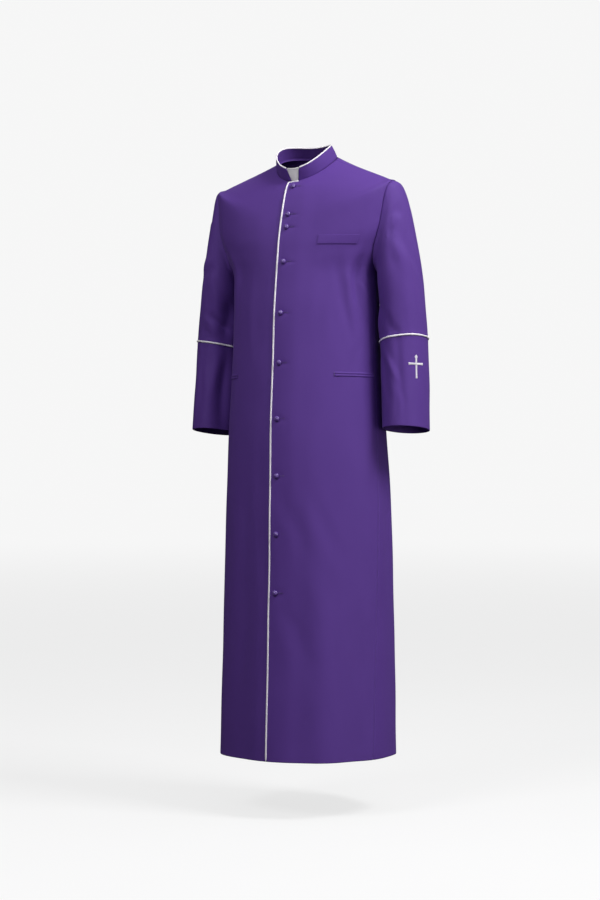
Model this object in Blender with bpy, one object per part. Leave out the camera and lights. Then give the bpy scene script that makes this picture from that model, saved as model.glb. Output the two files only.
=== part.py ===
"""A long clergy robe, filled out as it is when worn, with every piece a solid of its own.

Units are metres, +Z is up, the front faces -Y and the wearer's left is +X.
The origin is the middle of the neck opening, level with the seam where the collar meets the shoulders.
Each cut piece of cloth is a sheet of points and normals that is given a thickness.
"""

import math

import bpy
import numpy as np
from mathutils import Vector

# Cloth and trim thicknesses
CLOTH = 0.0016
COLLAR_CLOTH = 0.0024
TAB_CLOTH = 0.0010
WELT_CLOTH = 0.0012
CROSS_CLOTH = 0.0008
GAP = 0.0003
HALF_SEAM_GAP = 0.6 * GAP
BUTTON_SEAT = 1.3 * GAP
TRIM_SEAT = 1.5 * GAP
PIPING_WIDTH = 0.0036
PIPING_HEIGHT = 0.0024
PIPING_SIDES = 6
COLLAR_PIPING_WIDTH = 0.0030
COLLAR_PIPING_HEIGHT = 0.0030

# Front opening: the wearer's left front laps over the right one
OVERLAP = 0.012
UNDERLAP = 0.030
LIFT = CLOTH + GAP
LIFT_FADES_OVER = 0.040

# Top edge of the left front, as rings: it drops for the piping, and more at its rounded corner
NECK_DROP = 0.17
CORNER_DROP = 0.32

# Middle line of the piping round that corner, from the collar's end to the free edge, as x and ring
PIPING_TURN = [
    (0.0110, 0.073),
    (0.0060, 0.073),
    (-0.0010, 0.073),
    (-0.0060, 0.123),
    (-0.0110, 0.183),
    (-0.0137, 0.248),
    (-0.0141, 0.358),
]

# Seams on the body, as angles round it from the centre front
SHOULDER_SEAM = 90.0
SIDE_SEAM_TOP = 88.0
SIDE_SEAM_HEM = 71.5
ARMHOLE_FRONT_REACH = 22.0
ARMHOLE_BACK_REACH = 34.0

# Rings of the body, from the neckline down to the hem
BODY_COLUMNS = ("front_z", "side_z", "back_z", "half_width", "front_y", "side_y", "back_y")
BODY_RINGS = [
    (-0.0550, 0.0000, 0.0160, 0.0745, -0.0700, -0.0020, 0.0660),
    (-0.0730, -0.0220, -0.0170, 0.1280, -0.0850, -0.0050, 0.0810),
    (-0.1050, -0.0530, -0.0580, 0.2060, -0.0985, -0.0095, 0.0930),
    (-0.1450, -0.0655, -0.1080, 0.2270, -0.1115, -0.0120, 0.1040),
    (-0.1950, -0.1500, -0.1620, 0.2240, -0.1250, -0.0050, 0.1110),
    (-0.2330, -0.2120, -0.2130, 0.2040, -0.1315, 0.0000, 0.1120),
    (-0.2650, -0.2620, -0.2620, 0.1835, -0.1365, 0.0000, 0.1140),
    (-0.3000, -0.3000, -0.3000, 0.1790, -0.1410, -0.0030, 0.1200),
    (-0.3600, -0.3600, -0.3600, 0.1790, -0.1485, -0.0050, 0.1360),
    (-0.4500, -0.4500, -0.4500, 0.1805, -0.1550, -0.0050, 0.1450),
    (-0.5500, -0.5500, -0.5500, 0.1850, -0.1625, -0.0030, 0.1540),
    (-0.6600, -0.6600, -0.6600, 0.1910, -0.1690, 0.0000, 0.1640),
    (-0.8000, -0.8000, -0.8000, 0.1975, -0.1720, 0.0020, 0.1740),
    (-1.0000, -1.0000, -1.0000, 0.2010, -0.1770, 0.0020, 0.1810),
    (-1.2000, -1.2000, -1.2000, 0.2040, -0.1850, 0.0010, 0.1880),
    (-1.4020, -1.4020, -1.4020, 0.2065, -0.1940, 0.0000, 0.1940),
]
SHOULDER_RING = 2.7
UNDERARM_RING = 6
HEM_RING = len(BODY_RINGS) - 1

# Rows of cloth points between those rings
YOKE_RINGS = (0.0, 0.8, 1.5, 2.0, 2.4)
ARMHOLE_ROWS = 12
SKIRT_ROWS = 11
EDGE_PULL = 3
FRONT_COLUMNS = 8
BACK_COLUMNS = 20

# Largest soft folds. Angles go round the body, and a negative height is a trough.
# Top and bottom are heights on the body, and rings on a sleeve.
FOLD_COLUMNS = ("top_angle", "bottom_angle", "top", "bottom", "half_width", "height")
BODY_FOLDS = [
    (24.0, 40.0, -0.62, -2.00, 0.034, 0.0060),
    (52.0, 60.0, -0.70, -2.10, 0.030, -0.0050),
    (-22.0, -26.0, -0.50, -1.90, 0.036, -0.0055),
    (-50.0, -52.0, -0.60, -2.00, 0.034, 0.0055),
    (104.0, 110.0, -0.50, -2.00, 0.034, 0.0055),
    (-106.0, -112.0, -0.50, -2.00, 0.034, 0.0065),
    (136.0, 140.0, -0.45, -1.90, 0.036, -0.0070),
    (-138.0, -143.0, -0.45, -1.90, 0.036, -0.0070),
    (166.0, 168.0, -0.40, -2.00, 0.036, 0.0065),
    (-168.0, -166.0, -0.55, -2.00, 0.036, 0.0060),
    (60.0, 48.0, -0.17, -0.34, 0.020, 0.0035),
    (-58.0, -48.0, -0.17, -0.34, 0.020, 0.0035),
]
FOLD_RADIUS = 0.19

# Steps round and down the body over which its outward direction is taken
ANGLE_STEP = 0.5
RING_STEP = 0.03

# Rings of the wearer's left sleeve, from the armhole down to the cuff edge
SLEEVE_COLUMNS = ("outer_x", "outer_z", "inner_x", "inner_z", "centre_y", "half_depth", "front_rise")
SLEEVE_RINGS = [
    (0.2253, -0.0590, 0.1850, -0.2620, 0.0030, 0.0580, 0.0000),
    (0.2400, -0.0705, 0.1868, -0.2780, 0.0040, 0.0590, 0.0000),
    (0.2535, -0.1190, 0.1868, -0.2950, 0.0060, 0.0640, 0.0000),
    (0.2630, -0.1780, 0.1868, -0.3170, 0.0095, 0.0710, 0.0010),
    (0.2740, -0.2500, 0.1870, -0.3450, 0.0145, 0.0755, 0.0025),
    (0.2835, -0.3350, 0.1872, -0.3850, 0.0175, 0.0740, 0.0040),
    (0.2905, -0.4220, 0.1880, -0.4380, 0.0170, 0.0715, 0.0055),
    (0.2950, -0.5300, 0.1905, -0.5370, 0.0135, 0.0700, 0.0065),
    (0.2985, -0.6370, 0.1945, -0.6400, 0.0090, 0.0690, 0.0075),
]
PIPING_RING = 6
CUFF_RING = 8

# How much further out each arm hangs than the rings say, by ring
ARM_RINGS = (0.0, 1.6, 4.0, 6.0, 8.0)
ARM_SHIFTS = {"left": (0.0, 0.0015, 0.0035, 0.0030, 0.0030), "right": (0.0, -0.0045, -0.0045, 0.0, 0.0045)}
SLEEVE_SIDES = 24
SLEEVE_ROWS = 11
CUFF_ROWS = 5
ARMHOLE_BLEND = 1.6
ARMHOLE_GAP_TOP = 0.0011
ARMHOLE_GAP_UNDERARM = 0.0028

# Largest soft folds of a sleeve: angle 0 is its outside, and 90 its front
SLEEVE_FOLDS = [
    (28.0, 8.0, 1.2, 5.4, 0.012, -0.0030),
    (60.0, 40.0, 2.2, 6.6, 0.014, 0.0028),
    (84.0, 66.0, 5.2, 8.6, 0.012, -0.0032),
    (200.0, 215.0, 3.0, 7.2, 0.014, 0.0032),
    (300.0, 320.0, 3.4, 6.8, 0.014, -0.0030),
]
SLEEVE_FOLD_RADIUS = 0.062

# Collar, from the neck seam up: the ends part in front and show the tab
COLLAR_INSET = 0.0024
COLLAR_TOP_RADIUS = 0.0650
COLLAR_TOP_CENTRE_Y = -0.0194
COLLAR_TOP_FRONT_Z = -0.0275
COLLAR_TOP_SIDE_Z = 0.0270
COLLAR_TOP_BACK_Z = 0.0400
COLLAR_GAP_BOTTOM = 0.0095
COLLAR_GAP_TOP = 0.0165
COLLAR_ROWS = 3
COLLAR_COLUMNS = 32
TAB_CLEARANCE = 0.0013
TAB_INSET = COLLAR_CLOTH / 2 + TAB_CLOTH / 2 + TAB_CLEARANCE

# Rows of the tab: angle from the centre front, and height as a share of the collar's
TAB_COLUMNS = ("angle", "top_share")
TAB_OUTLINE = [
    (-22.0, 0.95),
    (-15.8, 0.96),
    (-12.6, 1.07),
    (-6.3, 1.08),
    (0.0, 1.08),
    (6.3, 1.08),
    (12.6, 1.07),
    (15.8, 0.96),
    (22.0, 0.95),
]
TAB_BOTTOM_SHARE = -0.03
TAB_ROWS = 3

# Buttons down the centre front, by height
BUTTON_HEIGHTS = (-0.069, -0.137, -0.168, -0.250, -0.370, -0.486, -0.616, -0.748, -0.882, -1.017)
BUTTON_X = 0.0020
BUTTON_COLUMN = 1 + BUTTON_X / OVERLAP
BUTTON_RADIUS = 0.0063
BUTTON_SIDES = 12

# Half outline of a button, as radius and height in shares of its radius
BUTTON_PROFILE = [(0.0, 0.0), (0.92, 0.0), (1.0, 0.22), (0.93, 0.52), (0.62, 0.80), (0.0, 0.92)]

# Pockets: two lips at each hip, and one welt on the wearer's left breast
HIP_POCKET_Z = -0.513
HIP_POCKET_COLUMN = 5
HIP_POCKET_START = 45.6
HIP_POCKET_END = 82.0
HIP_LIP_HEIGHT = 0.0048
BREAST_WELT_COLUMN = 7
BREAST_WELT_TOP_Z = -0.190
BREAST_WELT_BOTTOM_Z = -0.211
BREAST_WELT_START_X = 0.082
BREAST_WELT_END_X = 0.174

# Cross on the wearer's left cuff
CROSS_ANGLE = 33.0
CROSS_CENTRE_Z = -0.4950
CROSS_HEIGHT = 0.0545
CROSS_WIDTH = 0.0440
CROSS_BAR = 0.0052
CROSS_ARM_ABOVE_CENTRE = 0.0065

# Finishes, and the turn between faces past which an edge shows sharp
SHARP_ANGLE = 50.0
SUITING_COLOUR = (0.095, 0.044, 0.235)
SUITING_ROUGHNESS = 0.72
PIPING_COLOUR = (0.86, 0.82, 0.88)
PIPING_ROUGHNESS = 0.55
TAB_COLOUR = (0.72, 0.68, 0.69)
TAB_ROUGHNESS = 0.45


def unit(vector):
    """The same direction, one metre long."""
    return vector / np.linalg.norm(vector)


def smooth_step(value):
    """0 below 0, 1 above 1, and smooth between."""
    share = np.clip(value, 0.0, 1.0)
    return share * share * (3 - 2 * share)


def table_row(table, columns, row):
    """The table's named values at a fractional row, on smooth curves with no overshoot."""
    values = np.array(table, float)
    steps = np.diff(values, axis=0)
    slopes = np.vstack([steps[:1], (steps[:-1] + steps[1:]) / 2, steps[-1:]])
    turns = np.zeros(slopes.shape, bool)
    turns[1:-1] = steps[:-1] * steps[1:] <= 0
    slopes[turns] = 0.0
    limit = 3 * np.minimum(
        np.abs(np.vstack([steps[:1], steps])), np.abs(np.vstack([steps, steps[-1:]]))
    )
    slopes = np.clip(slopes, -limit, limit)
    low = int(min(max(math.floor(row), 0), len(values) - 2))
    t = row - low
    found = (
        (2 * t**3 - 3 * t**2 + 1) * values[low]
        + (t**3 - 2 * t**2 + t) * slopes[low]
        + (3 * t**2 - 2 * t**3) * values[low + 1]
        + (t**3 - t**2) * slopes[low + 1]
    )
    return dict(zip(columns, found))


def fold_height(folds, angle, level, radius):
    """How far the folds push the cloth out at this angle and level."""
    total = 0.0
    for row in folds:
        fold = dict(zip(FOLD_COLUMNS, row))
        share = (level - fold["top"]) / (fold["bottom"] - fold["top"])
        if not 0 < share < 1:
            continue
        centre = fold["top_angle"] + (fold["bottom_angle"] - fold["top_angle"]) * share
        off = (angle - centre + 180) % 360 - 180
        across = math.radians(off) * radius / fold["half_width"]
        total += fold["height"] * math.sin(math.pi * share) * math.exp(-across * across)
    return total


def around(front, side, back, angle):
    """A height that is front at 0 degrees, side at 90 and back at 180, smooth all round."""
    mean = (front + back) / 2
    level, swing, pinch = (mean + side) / 2, (front - back) / 2, (mean - side) / 2
    turn = math.radians(angle)
    return level + swing * math.cos(turn) + pinch * math.cos(2 * turn)


def body_point(angle, ring):
    """A point on the middle of the body's cloth."""
    size = table_row(BODY_RINGS, BODY_COLUMNS, ring)
    turn = math.radians(angle)
    across, along = math.sin(turn), math.cos(turn)
    reach = size["side_y"] - size["front_y"] if along > 0 else size["back_y"] - size["side_y"]
    z = around(size["front_z"], size["side_z"], size["back_z"], angle)
    out = fold_height(BODY_FOLDS, angle, z, FOLD_RADIUS)
    x = size["half_width"] * across + out * across
    y = size["side_y"] - (reach + out) * along
    return np.array([x, y, z])


def body_normal(angle, ring):
    """The outward direction of the body's cloth."""
    low, high = max(ring - RING_STEP, 0.0), min(ring + RING_STEP, HEM_RING)
    round_it = body_point(angle + ANGLE_STEP, ring) - body_point(angle - ANGLE_STEP, ring)
    down_it = body_point(angle, high) - body_point(angle, low)
    return unit(np.cross(down_it, round_it))


def angle_at(x, ring):
    """The angle round the body at which its front has this x."""
    return math.degrees(math.asin(x / table_row(BODY_RINGS, BODY_COLUMNS, ring)["half_width"]))


def armhole_at(turn):
    """Angle round the body and ring of the armhole seam: turn 0 is the shoulder, 180 the underarm."""
    share = turn / 180 if turn <= 180 else (360 - turn) / 180
    middle = SHOULDER_SEAM + (SIDE_SEAM_TOP - SHOULDER_SEAM) * share
    reach = ARMHOLE_FRONT_REACH if turn <= 180 else ARMHOLE_BACK_REACH
    half = (UNDERARM_RING - SHOULDER_RING) / 2
    ring = SHOULDER_RING + half * (1 - math.cos(math.radians(turn)))
    return middle - reach * math.sin(math.radians(turn)), ring


def panel_rows():
    """A panel's rows, each by its ring inside, its ring at the outer edge, and its turn round the armhole."""
    rows = [(ring, ring, 0.0) for ring in YOKE_RINGS]
    for turn in np.linspace(0, 180, ARMHOLE_ROWS + 1):
        even = SHOULDER_RING + (UNDERARM_RING - SHOULDER_RING) * turn / 180
        rows.append((even, armhole_at(turn)[1], turn))
    skirt = np.linspace(UNDERARM_RING, HEM_RING, SKIRT_ROWS + 1)[1:]
    return rows + [(ring, ring, 180.0) for ring in skirt]


def side_edge(ring, turn, front):
    """Angle of a panel's outer edge at this ring: shoulder seam, armhole or side seam."""
    seam = armhole_at(turn if front else 360 - turn)[0]
    if ring > UNDERARM_RING:
        underarm_z, hem_z = BODY_RINGS[UNDERARM_RING][0], BODY_RINGS[HEM_RING][0]
        level = table_row(BODY_RINGS, BODY_COLUMNS, ring)["front_z"]
        seam += (SIDE_SEAM_HEM - SIDE_SEAM_TOP) * (level - underarm_z) / (hem_z - underarm_z)
    size = table_row(BODY_RINGS, BODY_COLUMNS, ring)
    clear = math.degrees(HALF_SEAM_GAP / ((size["back_y"] - size["front_y"]) / 2))
    return seam - clear if front else seam + clear


def near_rings(near, ring, side):
    """Rings of a row's points by the opening. The left front's top edge drops for the piping."""
    if side < 0 or ring > 0:
        return [ring] * len(near)
    return [CORNER_DROP if x < 0 else NECK_DROP if x <= OVERLAP else 0.0 for x in near]


def front_panel(side):
    """Points and normals of a front: side 1 is the wearer's left, which laps over, and -1 the right."""
    near = (-OVERLAP, 0.0, OVERLAP, UNDERLAP) if side > 0 else (UNDERLAP, OVERLAP, 0.0, -OVERLAP)
    grid, normals = [], []
    for ring, edge_ring, turn in panel_rows():
        start = side * angle_at(near[-1], ring)
        end = side_edge(edge_ring, turn, True)
        places = [(angle_at(x, at), at) for x, at in zip(near, near_rings(near, ring, side))]
        for j in range(1, FRONT_COLUMNS + 1):
            share = j / FRONT_COLUMNS
            at = ring + (edge_ring - ring) * share**EDGE_PULL
            places.append((side * (start + (end - start) * share), at))
        points, ups = [], []
        for angle, at in places:
            point, up = body_point(angle, at), body_normal(angle, at)
            if side > 0:
                fade = 1 - smooth_step((point[0] - UNDERLAP) / LIFT_FADES_OVER)
                point = point + up * LIFT * fade
            points.append(point)
            ups.append(up)
        grid.append(points)
        normals.append(ups)
    return np.array(grid), np.array(normals)


def back_panel():
    """Points and normals of the back, from the wearer's left side seam round to the right one."""
    grid, normals = [], []
    for ring, edge_ring, turn in panel_rows():
        edge = side_edge(edge_ring, turn, False)
        places = []
        for share in np.linspace(-1, 1, BACK_COLUMNS + 1):
            at = ring + (edge_ring - ring) * abs(share) ** EDGE_PULL
            places.append((180 + (180 - edge) * share, at))
        grid.append([body_point(*place) for place in places])
        normals.append([body_normal(*place) for place in places])
    return np.array(grid), np.array(normals)


def sleeve_point(turn, ring, arm):
    """A point on the middle of a sleeve's cloth: turn 0 is outside, 90 in front, 180 inside."""
    size = table_row(SLEEVE_RINGS, SLEEVE_COLUMNS, ring)
    shift = float(np.interp(ring, ARM_RINGS, ARM_SHIFTS[arm]))
    outer = np.array([size["outer_x"] + shift, size["centre_y"], size["outer_z"]])
    inner = np.array([size["inner_x"] + shift, size["centre_y"], size["inner_z"]])
    front = np.array([0.0, -size["half_depth"], size["front_rise"]])
    a = math.radians(turn)
    out = fold_height(SLEEVE_FOLDS, turn, ring, SLEEVE_FOLD_RADIUS)
    swell = 1 + out / SLEEVE_FOLD_RADIUS
    return (outer + inner) / 2 + ((outer - inner) / 2 * math.cos(a) + front * math.sin(a)) * swell


def sleeve_cloth(turn, ring, arm):
    """The sleeve's cloth on the wearer's left side, drawn in to the armhole seam at its top."""
    point = sleeve_point(turn, ring, arm)
    if ring >= ARMHOLE_BLEND:
        return point
    angle, body_ring = armhole_at(turn)
    seam = body_point(angle, body_ring)
    down = (1 - math.cos(math.radians(turn))) / 2
    seam[0] += ARMHOLE_GAP_TOP + (ARMHOLE_GAP_UNDERARM - ARMHOLE_GAP_TOP) * down
    share = 1 - smooth_step(ring / ARMHOLE_BLEND)
    return point + (seam - sleeve_point(turn, 0, arm)) * share


def tube_grid(first, last, rows, arm):
    """Points of a sleeve between two rings."""
    rings = np.linspace(first, last, rows + 1)
    turns = np.arange(SLEEVE_SIDES) * 360 / SLEEVE_SIDES
    return np.array([[sleeve_cloth(turn, ring, arm) for turn in turns] for ring in rings])


def grid_normals(grid, wraps, inside):
    """Unit normals of a grid of points by its neighbours, facing away from the point inside."""
    down = np.gradient(grid, axis=0)
    if wraps:
        over = (np.roll(grid, -1, axis=1) - np.roll(grid, 1, axis=1)) / 2
    else:
        over = np.gradient(grid, axis=1)
    normals = np.cross(down, over)
    normals /= np.linalg.norm(normals, axis=2, keepdims=True)
    inward = (normals * (grid - inside)).sum(axis=2).mean() < 0
    return -normals if inward else normals


def between(values, place):
    """A value of a list at a fractional index, on straight lines."""
    low = int(min(math.floor(place), len(values) - 2))
    share = place - low
    return values[low] * (1 - share) + values[low + 1] * share


def lying_on(panel, columns, heights, lift):
    """Points and normals of a piece that lies on a panel, moved out by lift."""
    grid, normals = panel
    points, ups = [], []
    for z in heights:
        row, row_ups = [], []
        for column in columns:
            line = np.array([between(cells, column) for cells in grid])
            line_ups = np.array([between(cells, column) for cells in normals])
            place = float(np.interp(-z, -line[:, 2], np.arange(len(line))))
            up = unit(between(line_ups, place))
            row.append(between(line, place) + up * lift)
            row_ups.append(up)
        points.append(row)
        ups.append(row_ups)
    return np.array(points), np.array(ups)


def with_whole(values):
    """The values with every whole number between first and last, so that no fold is cut across."""
    whole = range(math.ceil(min(values)), math.floor(max(values)) + 1)
    return sorted({round(float(value), 6) for value in [*values, *whole]})


def material(name, colour, roughness):
    """A Principled material of one colour."""
    made = bpy.data.materials.new(name)
    made.use_nodes = True
    shader = made.node_tree.nodes["Principled BSDF"]
    shader.inputs["Base Color"].default_value = (*colour, 1.0)
    shader.inputs["Roughness"].default_value = roughness
    shader.inputs["Metallic"].default_value = 0.0
    return made


def mesh_object(name, points, faces, finish):
    """A named object from points and faces."""
    mesh = bpy.data.meshes.new(name)
    mesh.from_pydata([tuple(map(float, point)) for point in points], [], faces)
    mesh.materials.append(finish)
    mesh.shade_smooth()
    mesh.set_sharp_from_angle(angle=math.radians(SHARP_ANGLE))
    made = bpy.data.objects.new(name, mesh)
    bpy.context.scene.collection.objects.link(made)
    face_out(made)
    return made


def cloth(name, sheet, thickness, finish, wraps=False, cells=None):
    """A solid on both sides of a sheet, which is its points and normals. cells says which squares it has."""
    grid, normals = sheet
    rows, columns = grid.shape[:2]
    spans = columns if wraps else columns - 1
    used, squares = {}, []
    for i in range(rows - 1):
        for j in range(spans):
            if cells is not None and not cells(i, j):
                continue
            k = (j + 1) % columns
            corners = [(i, j), (i + 1, j), (i + 1, k), (i, k)]
            squares.append([used.setdefault(corner, len(used)) for corner in corners])
    count = len(used)
    points = [grid[at] + normals[at] * thickness / 2 for at in used]
    points += [grid[at] - normals[at] * thickness / 2 for at in used]
    faces = list(squares)
    faces += [[corner + count for corner in square[::-1]] for square in squares]
    edges = {(square[n], square[(n + 1) % 4]) for square in squares for n in range(4)}
    faces += [[b, a, a + count, b + count] for a, b in sorted(edges) if (b, a) not in edges]
    return mesh_object(name, points, faces, finish)


def cord(name, path, across, upward, width, height, finish, closed=False):
    """A cord of oval section along a path; across and upward are its section's directions at each point."""
    sides = PIPING_SIDES
    points, faces = [], []
    for centre, side, top in zip(path, across, upward):
        for k in range(sides):
            a = 2 * math.pi * k / sides
            points.append(centre + side * math.cos(a) * width / 2 + top * math.sin(a) * height / 2)
    count = len(path)
    for i in range(count if closed else count - 1):
        for k in range(sides):
            a, b = i * sides, ((i + 1) % count) * sides
            n = (k + 1) % sides
            faces.append([a + k, a + n, b + n, b + k])
    if not closed:
        faces.append(list(range(sides))[::-1])
        faces.append([(count - 1) * sides + k for k in range(sides)])
    return mesh_object(name, points, faces, finish)


def face_out(made):
    """Turns a closed mesh the right way out, by the sign of its volume."""
    made.data.calc_loop_triangles()
    volume = 0.0
    for triangle in made.data.loop_triangles:
        a, b, c = (made.data.vertices[index].co for index in triangle.vertices)
        volume += a.dot(b.cross(c))
    if volume < 0:
        made.data.flip_normals()


def make_front_piping(finish):
    """Piping down the free edge of the wearer's left front, turned at the neck along to the collar's end."""
    edge_x = -OVERLAP - GAP - PIPING_WIDTH / 2
    lift = CLOTH / 2 + GAP + PIPING_HEIGHT / 2
    rings = [ring for ring, _, _ in panel_rows() if ring > YOKE_RINGS[0]]
    stations = PIPING_TURN + [(edge_x, ring) for ring in rings]
    places = [(angle_at(x, ring), ring) for x, ring in stations]
    up = [body_normal(*place) for place in places]
    path = [body_point(*place) + normal * lift for place, normal in zip(places, up)]
    along = np.gradient(np.array(path), axis=0)
    across = [unit(np.cross(direction, normal)) for direction, normal in zip(along, up)]
    cord("piping_front", path, across, up, PIPING_WIDTH, PIPING_HEIGHT, finish)


def collar_point(angle, share, inset=0.0):
    """A point on the middle of the collar's cloth; share is 0 at the neck seam and 1 at the top edge."""
    size = table_row(BODY_RINGS, BODY_COLUMNS, 0)
    turn = math.radians(angle)
    reach = size["side_y"] - size["front_y"] if math.cos(turn) > 0 else size["back_y"] - size["side_y"]
    drawn_in = COLLAR_INSET + inset
    base = np.array(
        [
            (size["half_width"] - drawn_in) * math.sin(turn),
            size["side_y"] - (reach - drawn_in) * math.cos(turn),
            around(size["front_z"], size["side_z"], size["back_z"], angle),
        ]
    )
    top_radius = COLLAR_TOP_RADIUS - inset
    top = np.array(
        [
            top_radius * math.sin(turn),
            COLLAR_TOP_CENTRE_Y - top_radius * math.cos(turn),
            around(COLLAR_TOP_FRONT_Z, COLLAR_TOP_SIDE_Z, COLLAR_TOP_BACK_Z, angle),
        ]
    )
    return base + (top - base) * share


def collar_angles(share):
    """Angles of the collar's columns, from its left end round the back to its right end."""
    gap = COLLAR_GAP_BOTTOM + (COLLAR_GAP_TOP - COLLAR_GAP_BOTTOM) * share
    radius = table_row(BODY_RINGS, BODY_COLUMNS, 0)["half_width"] * (1 - share) + COLLAR_TOP_RADIUS * share
    end = math.degrees(math.asin(gap / radius))
    return np.linspace(end, 360 - end, COLLAR_COLUMNS + 1)


def make_collar(cloth_finish, trim_finish, tab_finish):
    """The stand collar, the piping on its top edge, and the tab that shows between its ends."""
    shares = np.linspace(0, 1, COLLAR_ROWS + 1)
    grid = np.array([[collar_point(angle, share) for angle in collar_angles(share)] for share in shares])
    inside = np.array([0.0, COLLAR_TOP_CENTRE_Y, 0.0])
    cloth("collar", (grid, grid_normals(grid, False, inside)), COLLAR_CLOTH, cloth_finish)

    angles = collar_angles(1.0)
    up = [unit(collar_point(angle, 1) - collar_point(angle, 0)) for angle in angles]
    rise = GAP + COLLAR_PIPING_HEIGHT / 2
    path = [collar_point(angle, 1) + direction * rise for angle, direction in zip(angles, up)]
    along = np.gradient(np.array(path), axis=0)
    across = [unit(np.cross(a, b)) for a, b in zip(along, up)]
    size = (COLLAR_PIPING_WIDTH, COLLAR_PIPING_HEIGHT)
    cord("piping_collar", path, across, up, *size, trim_finish)

    outline = [dict(zip(TAB_COLUMNS, row)) for row in TAB_OUTLINE]
    rows = []
    for up_it in np.linspace(0, 1, TAB_ROWS + 1):
        row = []
        for place in outline:
            share = TAB_BOTTOM_SHARE + (place["top_share"] - TAB_BOTTOM_SHARE) * up_it
            row.append(collar_point(place["angle"], share, TAB_INSET))
        rows.append(row)
    rows = np.array(rows)
    cloth("collar_tab", (rows, grid_normals(rows, False, inside)), TAB_CLOTH, tab_finish)


def make_buttons(panel, finish):
    """Round cloth-covered buttons, one mesh shared by all, on the outside of the lapped front."""
    ring_count = len(BUTTON_PROFILE) - 2
    points = [(0.0, 0.0, 0.0)]
    for radius, height in BUTTON_PROFILE[1:-1]:
        for k in range(BUTTON_SIDES):
            a = 2 * math.pi * k / BUTTON_SIDES
            reach = radius * BUTTON_RADIUS
            points.append((reach * math.cos(a), reach * math.sin(a), height * BUTTON_RADIUS))
    points.append((0.0, 0.0, BUTTON_PROFILE[-1][1] * BUTTON_RADIUS))
    faces = []
    for k in range(BUTTON_SIDES):
        n = (k + 1) % BUTTON_SIDES
        faces.append([0, 1 + n, 1 + k])
        for i in range(ring_count - 1):
            a, b = 1 + i * BUTTON_SIDES, 1 + (i + 1) * BUTTON_SIDES
            faces.append([a + k, a + n, b + n, b + k])
        last = 1 + (ring_count - 1) * BUTTON_SIDES
        faces.append([last + k, last + n, len(points) - 1])
    shared = None
    places, ups = lying_on(panel, [BUTTON_COLUMN], BUTTON_HEIGHTS, CLOTH / 2 + BUTTON_SEAT)
    for number, (place, up) in enumerate(zip(places[:, 0], ups[:, 0]), 1):
        name = f"button_{number:02d}"
        if shared is None:
            made = mesh_object(name, points, faces, finish)
            shared = made.data
        else:
            made = bpy.data.objects.new(name, shared)
            bpy.context.scene.collection.objects.link(made)
        made.location = place
        made.rotation_mode = "QUATERNION"
        made.rotation_quaternion = Vector(up).to_track_quat("Z", "Y")


def row_near(grid, column, z):
    """The panel's row that is nearest to height z in this column."""
    return int(np.argmin(np.abs(grid[:, column, 2] - z)))


def column_at(grid, row, value, axis):
    """Fractional column at which this row of a panel reaches a value of x, or of the angle round the body."""
    line = grid[row]
    if axis == "x":
        along = np.abs(line[:, 0])
    else:
        along = np.degrees(np.arctan2(np.abs(line[:, 0]), -line[:, 1]))
    start = int(np.argmin(along))
    return float(np.interp(value, along[start:], np.arange(start, len(along))))


def make_hip_pocket(name, panel, finish):
    """Two narrow lips of a jetted pocket, one above the other, on a front."""
    level = row_near(panel[0], HIP_POCKET_COLUMN, HIP_POCKET_Z)
    start = column_at(panel[0], level, HIP_POCKET_START, "angle")
    end = column_at(panel[0], level, HIP_POCKET_END, "angle")
    lift = CLOTH / 2 + GAP + WELT_CLOTH / 2
    for place, top in (("upper", HIP_POCKET_Z + GAP / 2 + HIP_LIP_HEIGHT), ("lower", HIP_POCKET_Z - GAP / 2)):
        lip = lying_on(panel, with_whole([start, end]), (top, top - HIP_LIP_HEIGHT), lift)
        cloth(f"{name}_lip_{place}", lip, WELT_CLOTH, finish)


def make_breast_welt(panel, finish):
    """The welt of the breast pocket."""
    level = row_near(panel[0], BREAST_WELT_COLUMN, BREAST_WELT_TOP_Z)
    start = column_at(panel[0], level, BREAST_WELT_START_X, "x")
    end = column_at(panel[0], level, BREAST_WELT_END_X, "x")
    heights = np.linspace(BREAST_WELT_TOP_Z, BREAST_WELT_BOTTOM_Z, 4)
    lift = CLOTH / 2 + TRIM_SEAT + WELT_CLOTH / 2
    welt = lying_on(panel, with_whole([start, end]), heights, lift)
    cloth("breast_pocket_welt", welt, WELT_CLOTH, finish)


def make_cross(cuff, finish):
    """A plain Latin cross on the outside of the left cuff."""
    centre = CROSS_ANGLE * SLEEVE_SIDES / 360
    pitch = np.linalg.norm(cuff[0][2, 2] - cuff[0][2, 1])
    half_arm, half_bar = CROSS_WIDTH / 2 / pitch, CROSS_BAR / 2 / pitch
    columns = with_whole([centre - half_arm, centre - half_bar, centre + half_bar, centre + half_arm])
    arm_z = CROSS_CENTRE_Z + CROSS_ARM_ABOVE_CENTRE
    ends = (CROSS_CENTRE_Z + CROSS_HEIGHT / 2, CROSS_CENTRE_Z - CROSS_HEIGHT / 2)
    heights = (ends[0], arm_z + CROSS_BAR / 2, arm_z - CROSS_BAR / 2, ends[1])
    lift = CLOTH / 2 + TRIM_SEAT + CROSS_CLOTH / 2

    def has_cloth(i, j):
        middle = (columns[j] + columns[j + 1]) / 2
        return i == 1 or abs(middle - centre) < half_bar

    cloth("cuff_cross", lying_on(cuff, columns, heights, lift), CROSS_CLOTH, finish, cells=has_cloth)


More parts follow.
